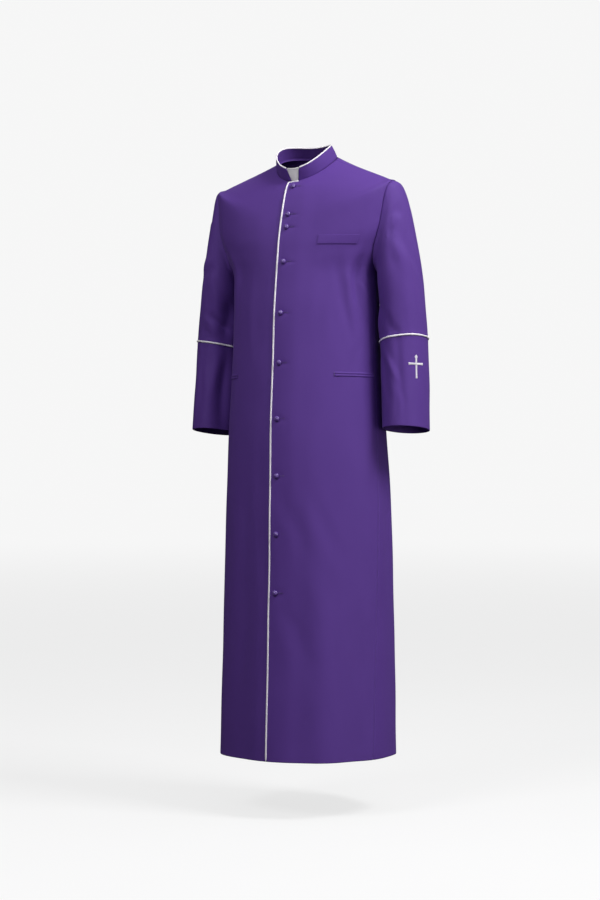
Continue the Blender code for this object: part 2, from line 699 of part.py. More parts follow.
def make_sleeve(arm, side, cloth_finish, trim_finish):
    """A sleeve, its cuff, and the piping over the seam between. Gives back the cuff's sheet."""
    turned = np.array([side, 1.0, 1.0])
    ring_span = SLEEVE_RINGS[PIPING_RING - 1][1] - SLEEVE_RINGS[PIPING_RING][1]
    half_gap = GAP / 2 / ring_span
    middle = tube_grid(0, CUFF_RING, 2, arm).mean(axis=(0, 1))
    spans = {
        "sleeve": (0, PIPING_RING - half_gap, SLEEVE_ROWS),
        "cuff": (PIPING_RING + half_gap, CUFF_RING, CUFF_ROWS),
    }
    for piece, span in spans.items():
        grid = tube_grid(*span, arm)
        sheet = (grid * turned, grid_normals(grid, True, middle) * turned)
        cloth(f"{piece}_{arm}", sheet, CLOTH, cloth_finish, wraps=True)
    seam = tube_grid(PIPING_RING - RING_STEP, PIPING_RING + RING_STEP, 2, arm)
    up = grid_normals(seam, True, middle)[1]
    path = seam[1] + up * (CLOTH / 2 + GAP + PIPING_HEIGHT / 2)
    along = (np.roll(path, -1, axis=0) - np.roll(path, 1, axis=0)) / 2
    across = np.array([unit(np.cross(a, b)) for a, b in zip(along, up)])
    ring = (path * turned, across * turned, up * turned)
    cord(f"piping_sleeve_{arm}", *ring, PIPING_WIDTH, PIPING_HEIGHT, trim_finish, closed=True)
    return sheet


def main():
    for old in list(bpy.data.objects):
        bpy.data.objects.remove(old, do_unlink=True)

    purple = material("purple_suiting", SUITING_COLOUR, SUITING_ROUGHNESS)
    trim = material("white_piping", PIPING_COLOUR, PIPING_ROUGHNESS)
    tab = material("white_tab", TAB_COLOUR, TAB_ROUGHNESS)

    left, right = front_panel(1), front_panel(-1)
    cloth("front_left", left, CLOTH, purple)
    cloth("front_right", right, CLOTH, purple)
    cloth("back", back_panel(), CLOTH, purple)
    left_cuff = make_sleeve("left", 1.0, purple, trim)
    make_sleeve("right", -1.0, purple, trim)
    make_collar(purple, trim, tab)
    make_front_piping(trim)
    make_buttons(left, purple)
    make_hip_pocket("pocket_left", left, purple)
    make_hip_pocket("pocket_right", right, purple)
    make_breast_welt(left, purple)
    make_cross(left_cuff, trim)


main()
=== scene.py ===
"""The looks of a long clergy robe, filled out as it is when worn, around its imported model.

Units are metres, +Z is up, the front faces -Y and the wearer's left is +X.
The origin is the middle of the neck opening, level with the seam where the collar meets the shoulders.
Each piece of cloth is a thin shell on the form of its solid, with fine rows, creases and sunk seams.
"""

import math

import bpy
import numpy as np
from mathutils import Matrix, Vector


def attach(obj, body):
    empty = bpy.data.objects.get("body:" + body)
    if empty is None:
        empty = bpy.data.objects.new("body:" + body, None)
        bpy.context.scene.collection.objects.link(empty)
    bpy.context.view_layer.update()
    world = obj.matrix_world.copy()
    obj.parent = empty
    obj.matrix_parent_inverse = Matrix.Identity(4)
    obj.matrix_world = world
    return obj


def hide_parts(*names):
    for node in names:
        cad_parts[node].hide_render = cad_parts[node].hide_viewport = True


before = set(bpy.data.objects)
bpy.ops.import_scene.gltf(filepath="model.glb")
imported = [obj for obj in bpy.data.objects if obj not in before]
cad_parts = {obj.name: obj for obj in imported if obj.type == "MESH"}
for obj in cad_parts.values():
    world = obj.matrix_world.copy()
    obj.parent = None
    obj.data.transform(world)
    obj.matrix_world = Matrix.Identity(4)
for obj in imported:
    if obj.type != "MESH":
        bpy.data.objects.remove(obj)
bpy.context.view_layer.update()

# Cloth and trim thicknesses
CLOTH = 0.0016
COLLAR_CLOTH = 0.0024
TAB_CLOTH = 0.0010
WELT_CLOTH = 0.0012
GAP = 0.0003
PIPING_WIDTH = 0.0042
PIPING_HEIGHT = 0.0030
PIPING_SIZE = (PIPING_WIDTH, PIPING_HEIGHT)
COLLAR_PIPING_SIZE = (0.0034, 0.0032)

# Cords: sides of their sections, and slow swellings as amount, pace along the cord and phase
CORD_SIDES = 14
STITCH_SIDES = 8
CORD_UNEVENNESS = ((0.02, 410.0, 0.0), (0.015, 977.0, 1.0))

# Front opening: the wearer's left front laps over the right one
OVERLAP = 0.012
UNDERLAP = 0.030
LIFT = CLOTH + GAP
LIFT_FADES_OVER = 0.040

# How far the top edge of the left front drops below the piping, as x and ring
TOP_DROP_X = (-0.0120, -0.0105, -0.0080, -0.0050, -0.0010, 0.0115, 0.0130)
TOP_DROP_RING = (0.34, 0.26, 0.20, 0.165, 0.15, 0.15, 0.0)
TOP_DROP_ENDS = 1.0

# Middle line of the piping round that corner, from the collar's end to the free edge, as x and ring
PIPING_TURN = [
    (0.011, 0.073),
    (0.006, 0.073),
    (-0.001, 0.073),
    (-0.006, 0.123),
    (-0.011, 0.183),
    (-0.0137, 0.248),
    (-0.0141, 0.358),
]
PIPING_TURN_STEPS = 12

# Seams on the body, as angles round it from the centre front
SHOULDER_SEAM = 90.0
SIDE_SEAM_TOP = 88.0
SIDE_SEAM_HEM = 71.5
ARMHOLE_FRONT_REACH = 22.0
ARMHOLE_BACK_REACH = 34.0

# Rings of the body, from the neckline down to the hem:
# front_z, side_z, back_z, half_width, front_y, side_y, back_y
BODY_RINGS = [
    (-0.055, 0.0, 0.016, 0.0745, -0.07, -0.002, 0.066),
    (-0.073, -0.022, -0.017, 0.128, -0.085, -0.005, 0.081),
    (-0.105, -0.053, -0.058, 0.206, -0.0985, -0.0095, 0.093),
    (-0.145, -0.0655, -0.108, 0.227, -0.1115, -0.012, 0.104),
    (-0.195, -0.15, -0.162, 0.224, -0.125, -0.005, 0.111),
    (-0.233, -0.212, -0.213, 0.204, -0.1315, 0.0, 0.112),
    (-0.265, -0.262, -0.262, 0.1835, -0.1365, 0.0, 0.114),
    (-0.3, -0.3, -0.3, 0.179, -0.141, -0.003, 0.12),
    (-0.36, -0.36, -0.36, 0.179, -0.1485, -0.005, 0.136),
    (-0.45, -0.45, -0.45, 0.1805, -0.155, -0.005, 0.145),
    (-0.55, -0.55, -0.55, 0.185, -0.1625, -0.003, 0.154),
    (-0.66, -0.66, -0.66, 0.191, -0.169, 0.0, 0.164),
    (-0.8, -0.8, -0.8, 0.1975, -0.172, 0.002, 0.174),
    (-1.0, -1.0, -1.0, 0.201, -0.177, 0.002, 0.181),
    (-1.2, -1.2, -1.2, 0.204, -0.185, 0.001, 0.188),
    (-1.402, -1.402, -1.402, 0.2065, -0.194, 0.0, 0.194),
]
SHOULDER_RING = 2.7
UNDERARM_RING = 6
HEM_RING = len(BODY_RINGS) - 1
PIPING_EDGE_RINGS = (0.45, 3, HEM_RING)
PIPING_EDGE_STEPS = (60, 420)

# Rows and columns of the fine cloth
YOKE_ROWS = 44
ARMHOLE_ROWS = 66
SKIRT_ROWS = 170
FRONT_COLUMNS = 84
BACK_COLUMNS = 150
EDGE_PULL = 3
HEM_EDGE_ROWS = (0.02, 0.008, 0.0)
RING_STEPS = 1501
STEP_ROUND, STEP_DOWN = 0.3, 0.02
SHARP_ANGLE = 50.0

# Largest soft folds, as in the solids: top and bottom angle, top and bottom height, half width, height
BODY_FOLDS = [
    (24.0, 40.0, -0.62, -2.0, 0.034, 0.006),
    (52.0, 60.0, -0.7, -2.1, 0.03, -0.005),
    (-22.0, -26.0, -0.5, -1.9, 0.036, -0.0055),
    (-50.0, -52.0, -0.6, -2.0, 0.034, 0.0055),
    (104.0, 110.0, -0.5, -2.0, 0.034, 0.0055),
    (-106.0, -112.0, -0.5, -2.0, 0.034, 0.0065),
    (136.0, 140.0, -0.45, -1.9, 0.036, -0.007),
    (-138.0, -143.0, -0.45, -1.9, 0.036, -0.007),
    (166.0, 168.0, -0.4, -2.0, 0.036, 0.0065),
    (-168.0, -166.0, -0.55, -2.0, 0.036, 0.006),
    (60.0, 48.0, -0.17, -0.34, 0.02, 0.0035),
    (-58.0, -48.0, -0.17, -0.34, 0.02, 0.0035),
]
FOLD_RADIUS = 0.19

# Finer creases of the body: start angle and height, end angle and height, half width, height
BODY_CREASES = [
    (42.0, -0.205, 66.0, -0.45, 0.011, 0.0034),
    (55.0, -0.195, 74.0, -0.42, 0.014, -0.0044),
    (64.0, -0.275, 80.0, -0.33, 0.007, -0.0014),
    (2.0, -1.0, 36.0, -1.3, 0.02, -0.0013),
    (20.0, -0.96, 44.0, -1.18, 0.018, 0.0009),
    (18.0, -0.74, 58.0, -1.02, 0.017, -0.001),
    (3.0, -0.75, 22.0, -0.96, 0.015, -0.0008),
    (36.0, -1.06, 50.0, -1.4, 0.018, -0.0009),
    (34.0, -0.24, 30.0, -0.46, 0.015, -0.001),
    (70.0, -0.42, 50.0, -0.56, 0.012, -0.001),
    (-42.0, -0.2, -62.0, -0.43, 0.012, 0.0022),
    (-54.0, -0.19, -70.0, -0.4, 0.014, -0.0028),
    (-30.0, -0.23, -24.0, -0.52, 0.016, 0.0014),
    (-12.0, -0.56, -9.0, -1.15, 0.015, -0.0016),
    (-34.0, -0.7, -44.0, -1.2, 0.02, 0.0018),
    (-20.0, -1.02, -40.0, -1.38, 0.018, -0.0018),
    (92.0, -0.3, 104.0, -0.4, 0.009, -0.0018),
    (-92.0, -0.3, -106.0, -0.41, 0.009, -0.0018),
    (100.0, -0.27, 128.0, -0.38, 0.012, 0.0026),
    (-100.0, -0.27, -130.0, -0.37, 0.012, 0.0026),
    (112.0, -0.2, 124.0, -0.34, 0.013, -0.003),
    (-112.0, -0.2, -122.0, -0.35, 0.013, -0.003),
    (150.0, -0.42, 170.0, -0.52, 0.013, -0.002),
    (-148.0, -0.4, -172.0, -0.5, 0.013, -0.0022),
    (178.0, -0.56, 186.0, -0.98, 0.022, -0.0022),
    (122.0, -0.64, 150.0, -1.08, 0.02, 0.0022),
    (-118.0, -0.7, -150.0, -1.12, 0.02, 0.002),
    (150.0, -0.9, 128.0, -1.34, 0.019, -0.0022),
    (-152.0, -0.86, -132.0, -1.36, 0.019, -0.002),
    (84.0, -0.62, 96.0, -1.06, 0.017, -0.0016),
    (-86.0, -0.64, -94.0, -1.12, 0.017, -0.0016),
]

# Rings of the wearer's left sleeve, from the armhole down to the cuff edge:
# outer_x, outer_z, inner_x, inner_z, centre_y, half_depth, front_rise
SLEEVE_RINGS = [
    (0.2253, -0.059, 0.185, -0.262, 0.003, 0.058, 0.0),
    (0.24, -0.0705, 0.1868, -0.278, 0.004, 0.059, 0.0),
    (0.2535, -0.119, 0.1868, -0.295, 0.006, 0.064, 0.0),
    (0.263, -0.178, 0.1868, -0.317, 0.0095, 0.071, 0.001),
    (0.274, -0.25, 0.187, -0.345, 0.0145, 0.0755, 0.0025),
    (0.2835, -0.335, 0.1872, -0.385, 0.0175, 0.074, 0.004),
    (0.2905, -0.422, 0.188, -0.438, 0.017, 0.0715, 0.0055),
    (0.295, -0.53, 0.1905, -0.537, 0.0135, 0.07, 0.0065),
    (0.2985, -0.637, 0.1945, -0.64, 0.009, 0.069, 0.0075),
]
PIPING_RING = 6
CUFF_RING = 8
SEAM_TURN = 180.0

# How much further out each arm hangs than the rings say, by ring
ARM_RINGS = (0.0, 1.6, 4.0, 6.0, 8.0)
ARM_SHIFTS = {
    "left": (0.0, 0.0015, 0.0035, 0.003, 0.003),
    "right": (0.0, -0.0045, -0.0045, 0.0, 0.0045),
}
ARMHOLE_BLEND = 1.6
ARMHOLE_GAP_UNDERARM = 0.0012
SLEEVE_COLUMNS = 132
SLEEVE_ROWS = 120
CUFF_ROWS = 84

# Largest soft folds of a sleeve, as in the solids: angle 0 is its outside and 90 its front
SLEEVE_FOLDS = [
    (28.0, 8.0, 1.2, 5.4, 0.012, -0.003),
    (60.0, 40.0, 2.2, 6.6, 0.014, 0.0028),
    (84.0, 66.0, 5.2, 8.6, 0.012, -0.0032),
    (200.0, 215.0, 3.0, 7.2, 0.014, 0.0032),
    (300.0, 320.0, 3.4, 6.8, 0.014, -0.003),
]
SLEEVE_FOLD_RADIUS = 0.062

# Finer creases of each sleeve, in the same columns as the body's
SLEEVE_CREASES = {
    "left": [
        (48.0, -0.128, -18.0, -0.33, 0.0105, -0.0032),
        (66.0, -0.15, 22.0, -0.35, 0.011, 0.0024),
        (52.0, -0.09, 24.0, -0.136, 0.009, -0.0028),
        (70.0, -0.1, 62.0, -0.16, 0.007, -0.0012),
        (122.0, -0.438, 74.0, -0.556, 0.0075, 0.0019),
        (76.0, -0.54, 75.0, -0.66, 0.007, 0.0016),
        (134.0, -0.45, 92.0, -0.6, 0.011, -0.0022),
        (108.0, -0.33, 84.0, -0.44, 0.01, -0.0018),
        (20.0, -0.47, 8.0, -0.62, 0.012, -0.0008),
        (250.0, -0.33, 300.0, -0.4, 0.009, -0.0026),
        (236.0, -0.39, 292.0, -0.43, 0.008, 0.0018),
        (262.0, -0.24, 310.0, -0.33, 0.011, -0.0022),
        (280.0, -0.12, 268.0, -0.25, 0.011, -0.002),
        (152.0, -0.27, 158.0, -0.46, 0.016, 0.0062),
        (300.0, -0.48, 286.0, -0.63, 0.012, -0.002),
    ],
    "right": [
        (72.0, -0.165, 24.0, -0.285, 0.008, 0.0018),
        (96.0, -0.15, 60.0, -0.29, 0.01, -0.002),
        (96.0, -0.318, 138.0, -0.392, 0.015, -0.0046),
        (84.0, -0.372, 112.0, -0.414, 0.009, 0.001),
        (134.0, -0.19, 142.0, -0.47, 0.017, -0.007),
        (138.0, -0.4, 140.0, -0.72, 0.017, -0.0075),
        (108.0, -0.44, 92.0, -0.56, 0.011, -0.002),
        (58.0, -0.46, 66.0, -0.64, 0.012, 0.0014),
        (40.0, -0.096, 24.0, -0.13, 0.008, -0.0014),
        (250.0, -0.34, 304.0, -0.405, 0.009, -0.0024),
        (238.0, -0.4, 290.0, -0.436, 0.008, 0.0018),
        (264.0, -0.22, 312.0, -0.32, 0.011, -0.0022),
        (284.0, -0.13, 270.0, -0.25, 0.011, -0.002),
        (310.0, -0.47, 290.0, -0.64, 0.012, -0.0018),
    ],
}
CREASE_BEND, CREASE_BEND_TURN, CREASE_BEND_PHASE = 0.35, 5.3, 1.7
CREASE_FLANK, CREASE_FLANK_AT = 0.42, 1.9
CREASE_RUN_IN, CREASE_RUN_OUT = 0.4, 0.5
CREASE_WIDENING = 0.5

# Slow unevenness of the cloth
WAVE_COUNT = 14
WAVE_SHORTEST = 0.060
WAVE_LONGEST = 0.210
WAVE_HEIGHT = 0.00022
WAVE_TURN = 0.9
WAVES_FROM_RING = 2.5
WAVE_SEEDS = {"body": 3, "left": 11, "right": 12}

# Sunk seams, with the ridge of the turnings pressed under each side, and slight puckers
SEAM_DEPTH = 0.0010
SEAM_HALF_WIDTH = 0.0016
TURNING_HEIGHT = 0.00035
TURNING_AT = 0.0055
TURNING_HALF_WIDTH = 0.0035
PUCKER_HEIGHT = 0.00028
PUCKER_REACH = 0.011
PUCKER_LENGTHS = (0.0170, 0.0245, 0.0391)

# Hems turned up inside
HEM_DEPTH = 0.040
CUFF_HEM_DEPTH = 0.030
HEM_STEP = 0.0012
HEM_FADE = 0.001

# Collar, from the neck seam up: the ends part in front and show the tab
COLLAR_INSET = 0.0024
COLLAR_TOP_RADIUS = 0.0650
COLLAR_TOP_CENTRE_Y = -0.0194
COLLAR_TOP_FRONT_Z = -0.0275
COLLAR_TOP_SIDE_Z = 0.0270
COLLAR_TOP_BACK_Z = 0.0400
COLLAR_GAP_BOTTOM = 0.0095
COLLAR_GAP_TOP = 0.0165
COLLAR_CORNER = 0.0030
COLLAR_CORNER_SHARE = 0.82
COLLAR_BOW = 0.0009
COLLAR_ROWS = 40
COLLAR_COLUMNS = 240
COLLAR_MIDDLE = (0.0, COLLAR_TOP_CENTRE_Y, 0.0)
COLLAR_PIPING_PAST_END = 2.2
COLLAR_PIPING_STEPS = 420
TAB_CLEARANCE = 0.0013
TAB_INSET = COLLAR_CLOTH / 2 + TAB_CLOTH / 2 + TAB_CLEARANCE

# Outline of the tab: angle from the centre front, and the height of its top as a share of the collar's
TAB_ANGLES = (-22.0, -15.8, -12.6, -6.3, 0.0, 6.3, 12.6, 15.8, 22.0)
TAB_TOPS = (0.95, 0.96, 1.07, 1.08, 1.08, 1.08, 1.07, 0.96, 0.95)
TAB_BOTTOM_SHARE = -0.03
TAB_ROWS = 28
TAB_COLUMNS = 90
TAB_ROLL, TAB_ROLL_AT, TAB_ROLL_HALF_WIDTH = 1.1, 0.0013, 0.0011

# Buttons down the centre front, by height
BUTTON_HEIGHTS = (-0.069, -0.137, -0.168, -0.250, -0.370, -0.486, -0.616, -0.748, -0.882, -1.017)
BUTTON_X = 0.0020
BUTTON_RADIUS = 0.0063
BUTTON_DOME = 0.66
BUTTON_TUCK = 38.0
BUTTON_RINGS = 18
BUTTON_SIDES = 48
BUTTON_GATHERS = 13
BUTTON_GATHER_DEPTH = 0.022
BUTTON_GATHERS_TOP = 12.0
BUTTON_GATHERS_FADE = 30.0
BUTTON_SPIN = 37.0
BUTTON_PULL = 0.0010
BUTTON_PULL_REACH = 0.0110
DRAG_DEPTH = 0.0009
DRAG_HALF_WIDTH = 0.0030
DRAG_LENGTH = 0.034
DRAG_RUN_IN, DRAG_RUN_OUT = 0.006, 0.020
DRAG_SLOPE = 0.10

# Buttonholes, which run from each button towards the wearer's left
HOLE_START = -0.0030
HOLE_END = 0.0190
HOLE_HALF_HEIGHT = 0.0011
HOLE_CORD_SIZE = (0.0011, 0.000825)
HOLE_CORD_LIFT = 0.000132
HOLE_STITCH = 0.00075
HOLE_STITCH_STEPS = 3
HOLE_STITCH_BULGE = 0.16

# Pockets: two lips at each hip, and one welt on the wearer's left breast
HIP_POCKET_Z = -0.513
HIP_POCKET_START = 42.4
HIP_POCKET_END = 82.3
HIP_LIP_HEIGHT = 0.0048
HIP_LIP_ROWS, HIP_LIP_COLUMNS = 12, 90
HIP_LIP_EDGE, HIP_LIP_ROLL = 0.35, 0.95
HIP_LIP_END, HIP_LIP_END_LEAST = 0.02, 0.3
HIP_LIP_UNEVENNESS, HIP_LIP_UNEVEN_PACE = 0.0002, 19.0
TACK_STITCHES = 15
TACK_STITCH_STEPS = 4
TACK_REACH = HIP_LIP_HEIGHT * 0.9
TACK_LIFT = WELT_CLOTH * 0.9
TACK_BULGE = 0.18
TACK_SIZE = (0.0015, 0.0008)
BREAST_WELT_TOP_Z = -0.190
BREAST_WELT_BOTTOM_Z = -0.211
BREAST_WELT_START_X = 0.082
BREAST_WELT_END_X = 0.174
BREAST_WELT_RING = 4
BREAST_WELT_ROWS, BREAST_WELT_COLUMNS = 26, 80
BREAST_WELT_SUNK, BREAST_WELT_FLATTENED = 0.0003, 0.35
BREAST_WELT_EDGE_PACE, BREAST_WELT_END_PACE = 20.0, 60.0

# Cross on the wearer's left cuff
CROSS_ANGLE = 33.0
CROSS_RING = 6.6
CROSS_CENTRE_Z = -0.4950
CROSS_HEIGHT = 0.0545
CROSS_WIDTH = 0.0440
CROSS_BAR, CROSS_ARM_BAR = 0.0048, 0.004416
CROSS_ARM_ABOVE_CENTRE = 0.0065
CROSS_KNOB = 0.0086
CROSS_KNOB_HALF_WIDTH = 0.0030
CROSS_TIP, CROSS_TIP_LEAST = 0.0035, 0.45
CROSS_FLARE = 0.0016
CROSS_FLARE_REACH = 0.0045
CROSS_FOOT_FLARE, CROSS_FOOT_REACH = 0.00064, 0.004
CROSS_END = 0.0016
CROSS_PAD, CROSS_PAD_EDGE = 0.0011, 0.22
CROSS_RIB, CROSS_EDGE_RIB = 0.14, 0.03
CROSS_STITCH = 0.00055
CROSS_STITCH_STEPS = 4
CROSS_COLUMNS = 15

# Weave
TWILL_PITCH = 0.00110
YARN_PITCH = 0.00055
PIPING_WEAVE_PITCH = 0.0007
TAB_WEAVE_PITCH = 0.0005
WEAVE_RELIEF = 0.00010
BRAID_RELIEF = 0.00012

# Dark and light tone of each material, and the tints of the sheen
TONES = {
    "purple_suiting_twill": [(0.062, 0.023, 0.184), (0.125, 0.052, 0.324)],
    "covered_button_satin": [(0.066, 0.026, 0.190), (0.135, 0.060, 0.340)],
    "purple_thread": [(0.045, 0.018, 0.130), (0.100, 0.045, 0.250)],
    "white_piping_weave": [(0.86, 0.81, 0.90), (0.99, 0.95, 1.0)],
    "white_tab_weave": [(0.92, 0.89, 0.89), (0.98, 0.96, 0.95)],
    "white_satin_thread": [(0.74, 0.70, 0.78), (0.93, 0.91, 0.95)],
    "studio_floor": [(0.195, 0.195, 0.197), (0.205, 0.205, 0.207)],
}
PURPLE_SHEEN = (0.72, 0.55, 1.0)
LILAC_SHEEN = (1.0, 0.96, 1.0)
WHITE = (1.0, 1.0, 1.0, 1.0)

# Where the camera and the floor are
CAMERA_DISTANCE = 4.8
CAMERA_SIDE = 25.0
CAMERA_Z = -0.757
CAMERA_TILT = 90.853
CAMERA_TURN = 25.213
CAMERA_LENS = 80.64
CAMERA_SENSOR = 36.0
FLOOR_Z = -1.536
FLOOR_SIZE = 120.0

# Light: directions are degrees round from the front towards the wearer's left, and degrees up
LIGHT_AIM = (0.0, -0.12, -0.25)
SOFT_LIGHTS = {
    "key": {"side": 84.0, "up": 44.0, "distance": 3.0, "size": 1.1, "power": 86.0},
    "fill": {"side": -14.0, "up": 33.0, "distance": 3.6, "size": 1.4, "power": 55.0},
    "low": {"side": 70.0, "up": -8.0, "distance": 3.0, "size": 1.0, "power": 13.0},
}
GLOW_SIDE, GLOW_UP = 60.0, 50.0
GLOW_STRENGTH, GLOW_POWER = 0.58, 3.0
BACKDROP_TONE = 0.925
FLOOR_GLOW, FLOOR_FAR_GLOW = 0.75, 0.865
FLOOR_NEAR, FLOOR_FAR = 1.0, 22.0


def smooth_step(value):
    """0 below 0, 1 above 1, and smooth between."""
    share = np.clip(value, 0.0, 1.0)
    return share * share * (3 - 2 * share)


def unit(vectors):
    """The same directions, one metre long."""
    return vectors / np.linalg.norm(vectors, axis=-1, keepdims=True)


def between(t, start, start_slope, end, end_slope):
    """The smooth curve from start to end with these slopes, at t from 0 to 1."""
    return (
        (2 * t**3 - 3 * t**2 + 1) * start
        + (t**3 - 2 * t**2 + t) * start_slope
        + (3 * t**2 - 2 * t**3) * end
        + (t**3 - t**2) * end_slope
    )


def table_values(table, row):
    """Each column of the table at fractional rows, on smooth curves with no overshoot."""
    values = np.array(table, float)
    steps = np.diff(values, axis=0)
    slopes = np.vstack([steps[:1], (steps[:-1] + steps[1:]) / 2, steps[-1:]])
    turns = np.zeros(slopes.shape, bool)
    turns[1:-1] = steps[:-1] * steps[1:] <= 0
    slopes[turns] = 0.0
    before, after = np.vstack([steps[:1], steps]), np.vstack([steps, steps[-1:]])
    limit = 3 * np.minimum(np.abs(before), np.abs(after))
    slopes = np.clip(slopes, -limit, limit)
    row = np.asarray(row, float)
    low = np.clip(np.floor(row).astype(int), 0, len(values) - 2)
    t = (row - low)[..., None]
    found = between(t, values[low], slopes[low], values[low + 1], slopes[low + 1])
    return np.moveaxis(found, -1, 0)


def fold_height(folds, angle, level, radius):
    """How far the large folds push the cloth out at this angle and level."""
    total = np.zeros(np.broadcast(angle, level).shape)
    for top_angle, bottom_angle, top, bottom, half_width, height in folds:
        share = np.clip((level - top) / (bottom - top), 0.0, 1.0)
        centre = top_angle + (bottom_angle - top_angle) * share
        off = (angle - centre + 180) % 360 - 180
        across = np.radians(off) * radius / half_width
        total += height * np.sin(math.pi * share) * np.exp(-across * across)
    return total


def crease_height(creases, angle, level, radius):
    """How far the finer creases push the cloth out. Each is uneven in width and runs out at its ends."""
    total = np.zeros(np.broadcast(angle, level).shape)
    for number, (start_angle, start_z, end_angle, end_z, half_width, height) in enumerate(creases):
        run, fall = math.radians(end_angle - start_angle) * radius, end_z - start_z
        length = math.hypot(run, fall)
        over = np.radians((angle - start_angle + 180) % 360 - 180) * radius
        down = level - start_z
        share = (over * run + down * fall) / length**2
        off = (over * fall - down * run) / length
        off = off + CREASE_BEND * half_width * np.sin(CREASE_BEND_TURN * share + CREASE_BEND_PHASE * number)
        widening = 1 + CREASE_WIDENING * (share - 0.5) * (1 if number % 2 else -1)
        across = off / (half_width * np.clip(widening, 0.5, 1.5))
        flank = CREASE_FLANK * np.exp(-((np.abs(across) - CREASE_FLANK_AT) ** 2))
        profile = np.exp(-across * across) - flank
        ends = smooth_step(share / CREASE_RUN_IN) * smooth_step((1 - share) / CREASE_RUN_OUT)
        total += height * ends * profile
    return total


def slow_waves(over, down, seed):
    """Slight unevenness of the cloth, the same at every run."""
    random = np.random.default_rng(seed)
    total = np.zeros(np.broadcast(over, down).shape)
    for _ in range(WAVE_COUNT):
        length = random.uniform(WAVE_SHORTEST, WAVE_LONGEST)
        bearing = random.uniform(-WAVE_TURN, WAVE_TURN)
        phase = random.uniform(0, 2 * math.pi)
        travel = over * math.cos(bearing) + down * math.sin(bearing)
        total += WAVE_HEIGHT * length / WAVE_LONGEST * np.sin(2 * math.pi * travel / length + phase)
    return total


def around(front, side, back, turn):
    """A height that is front at the centre front, side at the sides and back behind, smooth all round."""
    mean = (front + back) / 2
    level, swing, pinch = (mean + side) / 2, (front - back) / 2, (mean - side) / 2
    return level + swing * np.cos(turn) + pinch * np.cos(2 * turn)


def body_points(angle, ring, finer=True):
    """Points on the middle of the body's cloth."""
    angle, ring = np.broadcast_arrays(np.asarray(angle, float), np.asarray(ring, float))
    front_z, side_z, back_z, half_width, front_y, side_y, back_y = table_values(BODY_RINGS, ring)
    turn = np.radians(angle)
    across, along = np.sin(turn), np.cos(turn)
    reach = np.where(along > 0, side_y - front_y, back_y - side_y)
    z = around(front_z, side_z, back_z, turn)
    out = fold_height(BODY_FOLDS, angle, z, FOLD_RADIUS)
    if finer:
        out = out + crease_height(BODY_CREASES, angle, z, FOLD_RADIUS)
        settled = smooth_step(ring / WAVES_FROM_RING)
        out = out + settled * slow_waves(turn * FOLD_RADIUS, z, WAVE_SEEDS["body"])
    return np.stack([(half_width + out) * across, side_y - (reach + out) * along, z], axis=-1)


def angle_at(x, ring):
    """The angle round the body at which its front has this x."""
    return np.degrees(np.arcsin(x / table_values(BODY_RINGS, ring)[3]))


def ring_at(angle, z):
    """The ring of the body that passes through height z at this angle."""
    rings = np.linspace(0, HEM_RING, RING_STEPS)
    found = np.empty(np.broadcast(angle, z).shape)
    angle, z = np.broadcast_arrays(np.asarray(angle, float), np.asarray(z, float))
    front_z, side_z, back_z = table_values(BODY_RINGS, rings)[:3]
    for place in np.ndindex(found.shape):
        levels = around(front_z, side_z, back_z, math.radians(angle[place]))
        found[place] = np.interp(-z[place], -levels, rings)
    return found


def button_pull(x, z):
    """Where a button draws the cloth in, with the drag line beside it."""
    total = np.zeros(np.broadcast(x, z).shape)
    for height in BUTTON_HEIGHTS:
        over, down = x - BUTTON_X, z - height
        total -= BUTTON_PULL * np.exp(-(over**2 + down**2) / BUTTON_PULL_REACH**2)
        along = smooth_step(over / DRAG_RUN_IN) * smooth_step((DRAG_LENGTH - over) / DRAG_RUN_OUT)
        total -= DRAG_DEPTH * along * np.exp(-((down + DRAG_SLOPE * over) / DRAG_HALF_WIDTH) ** 2)
    return total


def front_points(angle, ring, side):
    """Points on the middle of a front's cloth. The wearer's left front is lifted where it laps over."""
    points = body_points(angle, ring)
    if side < 0:
        return points
    up = normals_of(body_points, angle, ring)
    fade = 1 - smooth_step((points[..., 0] - UNDERLAP) / LIFT_FADES_OVER)
    drawn = button_pull(points[..., 0], points[..., 2])
    return points + up * (LIFT * fade + drawn)[..., None]


def normals_of(surface, angle, ring, last=HEM_RING, **given):
    """Outward directions of a surface, by small steps round and down it."""
    low, high = np.maximum(ring - STEP_DOWN, 0.0), np.minimum(ring + STEP_DOWN, last)
    round_it = surface(angle + STEP_ROUND, ring, **given) - surface(angle - STEP_ROUND, ring, **given)
    down_it = surface(angle, high, **given) - surface(angle, low, **given)
    return unit(np.cross(down_it, round_it))


def facing_out(normals, points, centre):
    """The normals, turned if need be so that they face away from the centre."""
    return -normals if (normals * (points - centre)).sum(axis=-1).mean() < 0 else normals


def armhole_at(turn):
    """Angle round the body and ring of the armhole seam: turn 0 is the shoulder, 180 the underarm."""
    share = np.where(turn <= 180, turn, 360 - turn) / 180
    middle = SHOULDER_SEAM + (SIDE_SEAM_TOP - SHOULDER_SEAM) * share
    reach = np.where(turn <= 180, ARMHOLE_FRONT_REACH, ARMHOLE_BACK_REACH)
    half = (UNDERARM_RING - SHOULDER_RING) / 2
    ring = SHOULDER_RING + half * (1 - np.cos(np.radians(turn)))
    return middle - reach * np.sin(np.radians(turn)), ring


def dense_ends(count, pull=0.85):
    """Shares from 0 to 1 that crowd together at both ends."""
    share = np.linspace(0, 1, count + 1)
    return share - pull * np.sin(2 * math.pi * share) / (2 * math.pi)


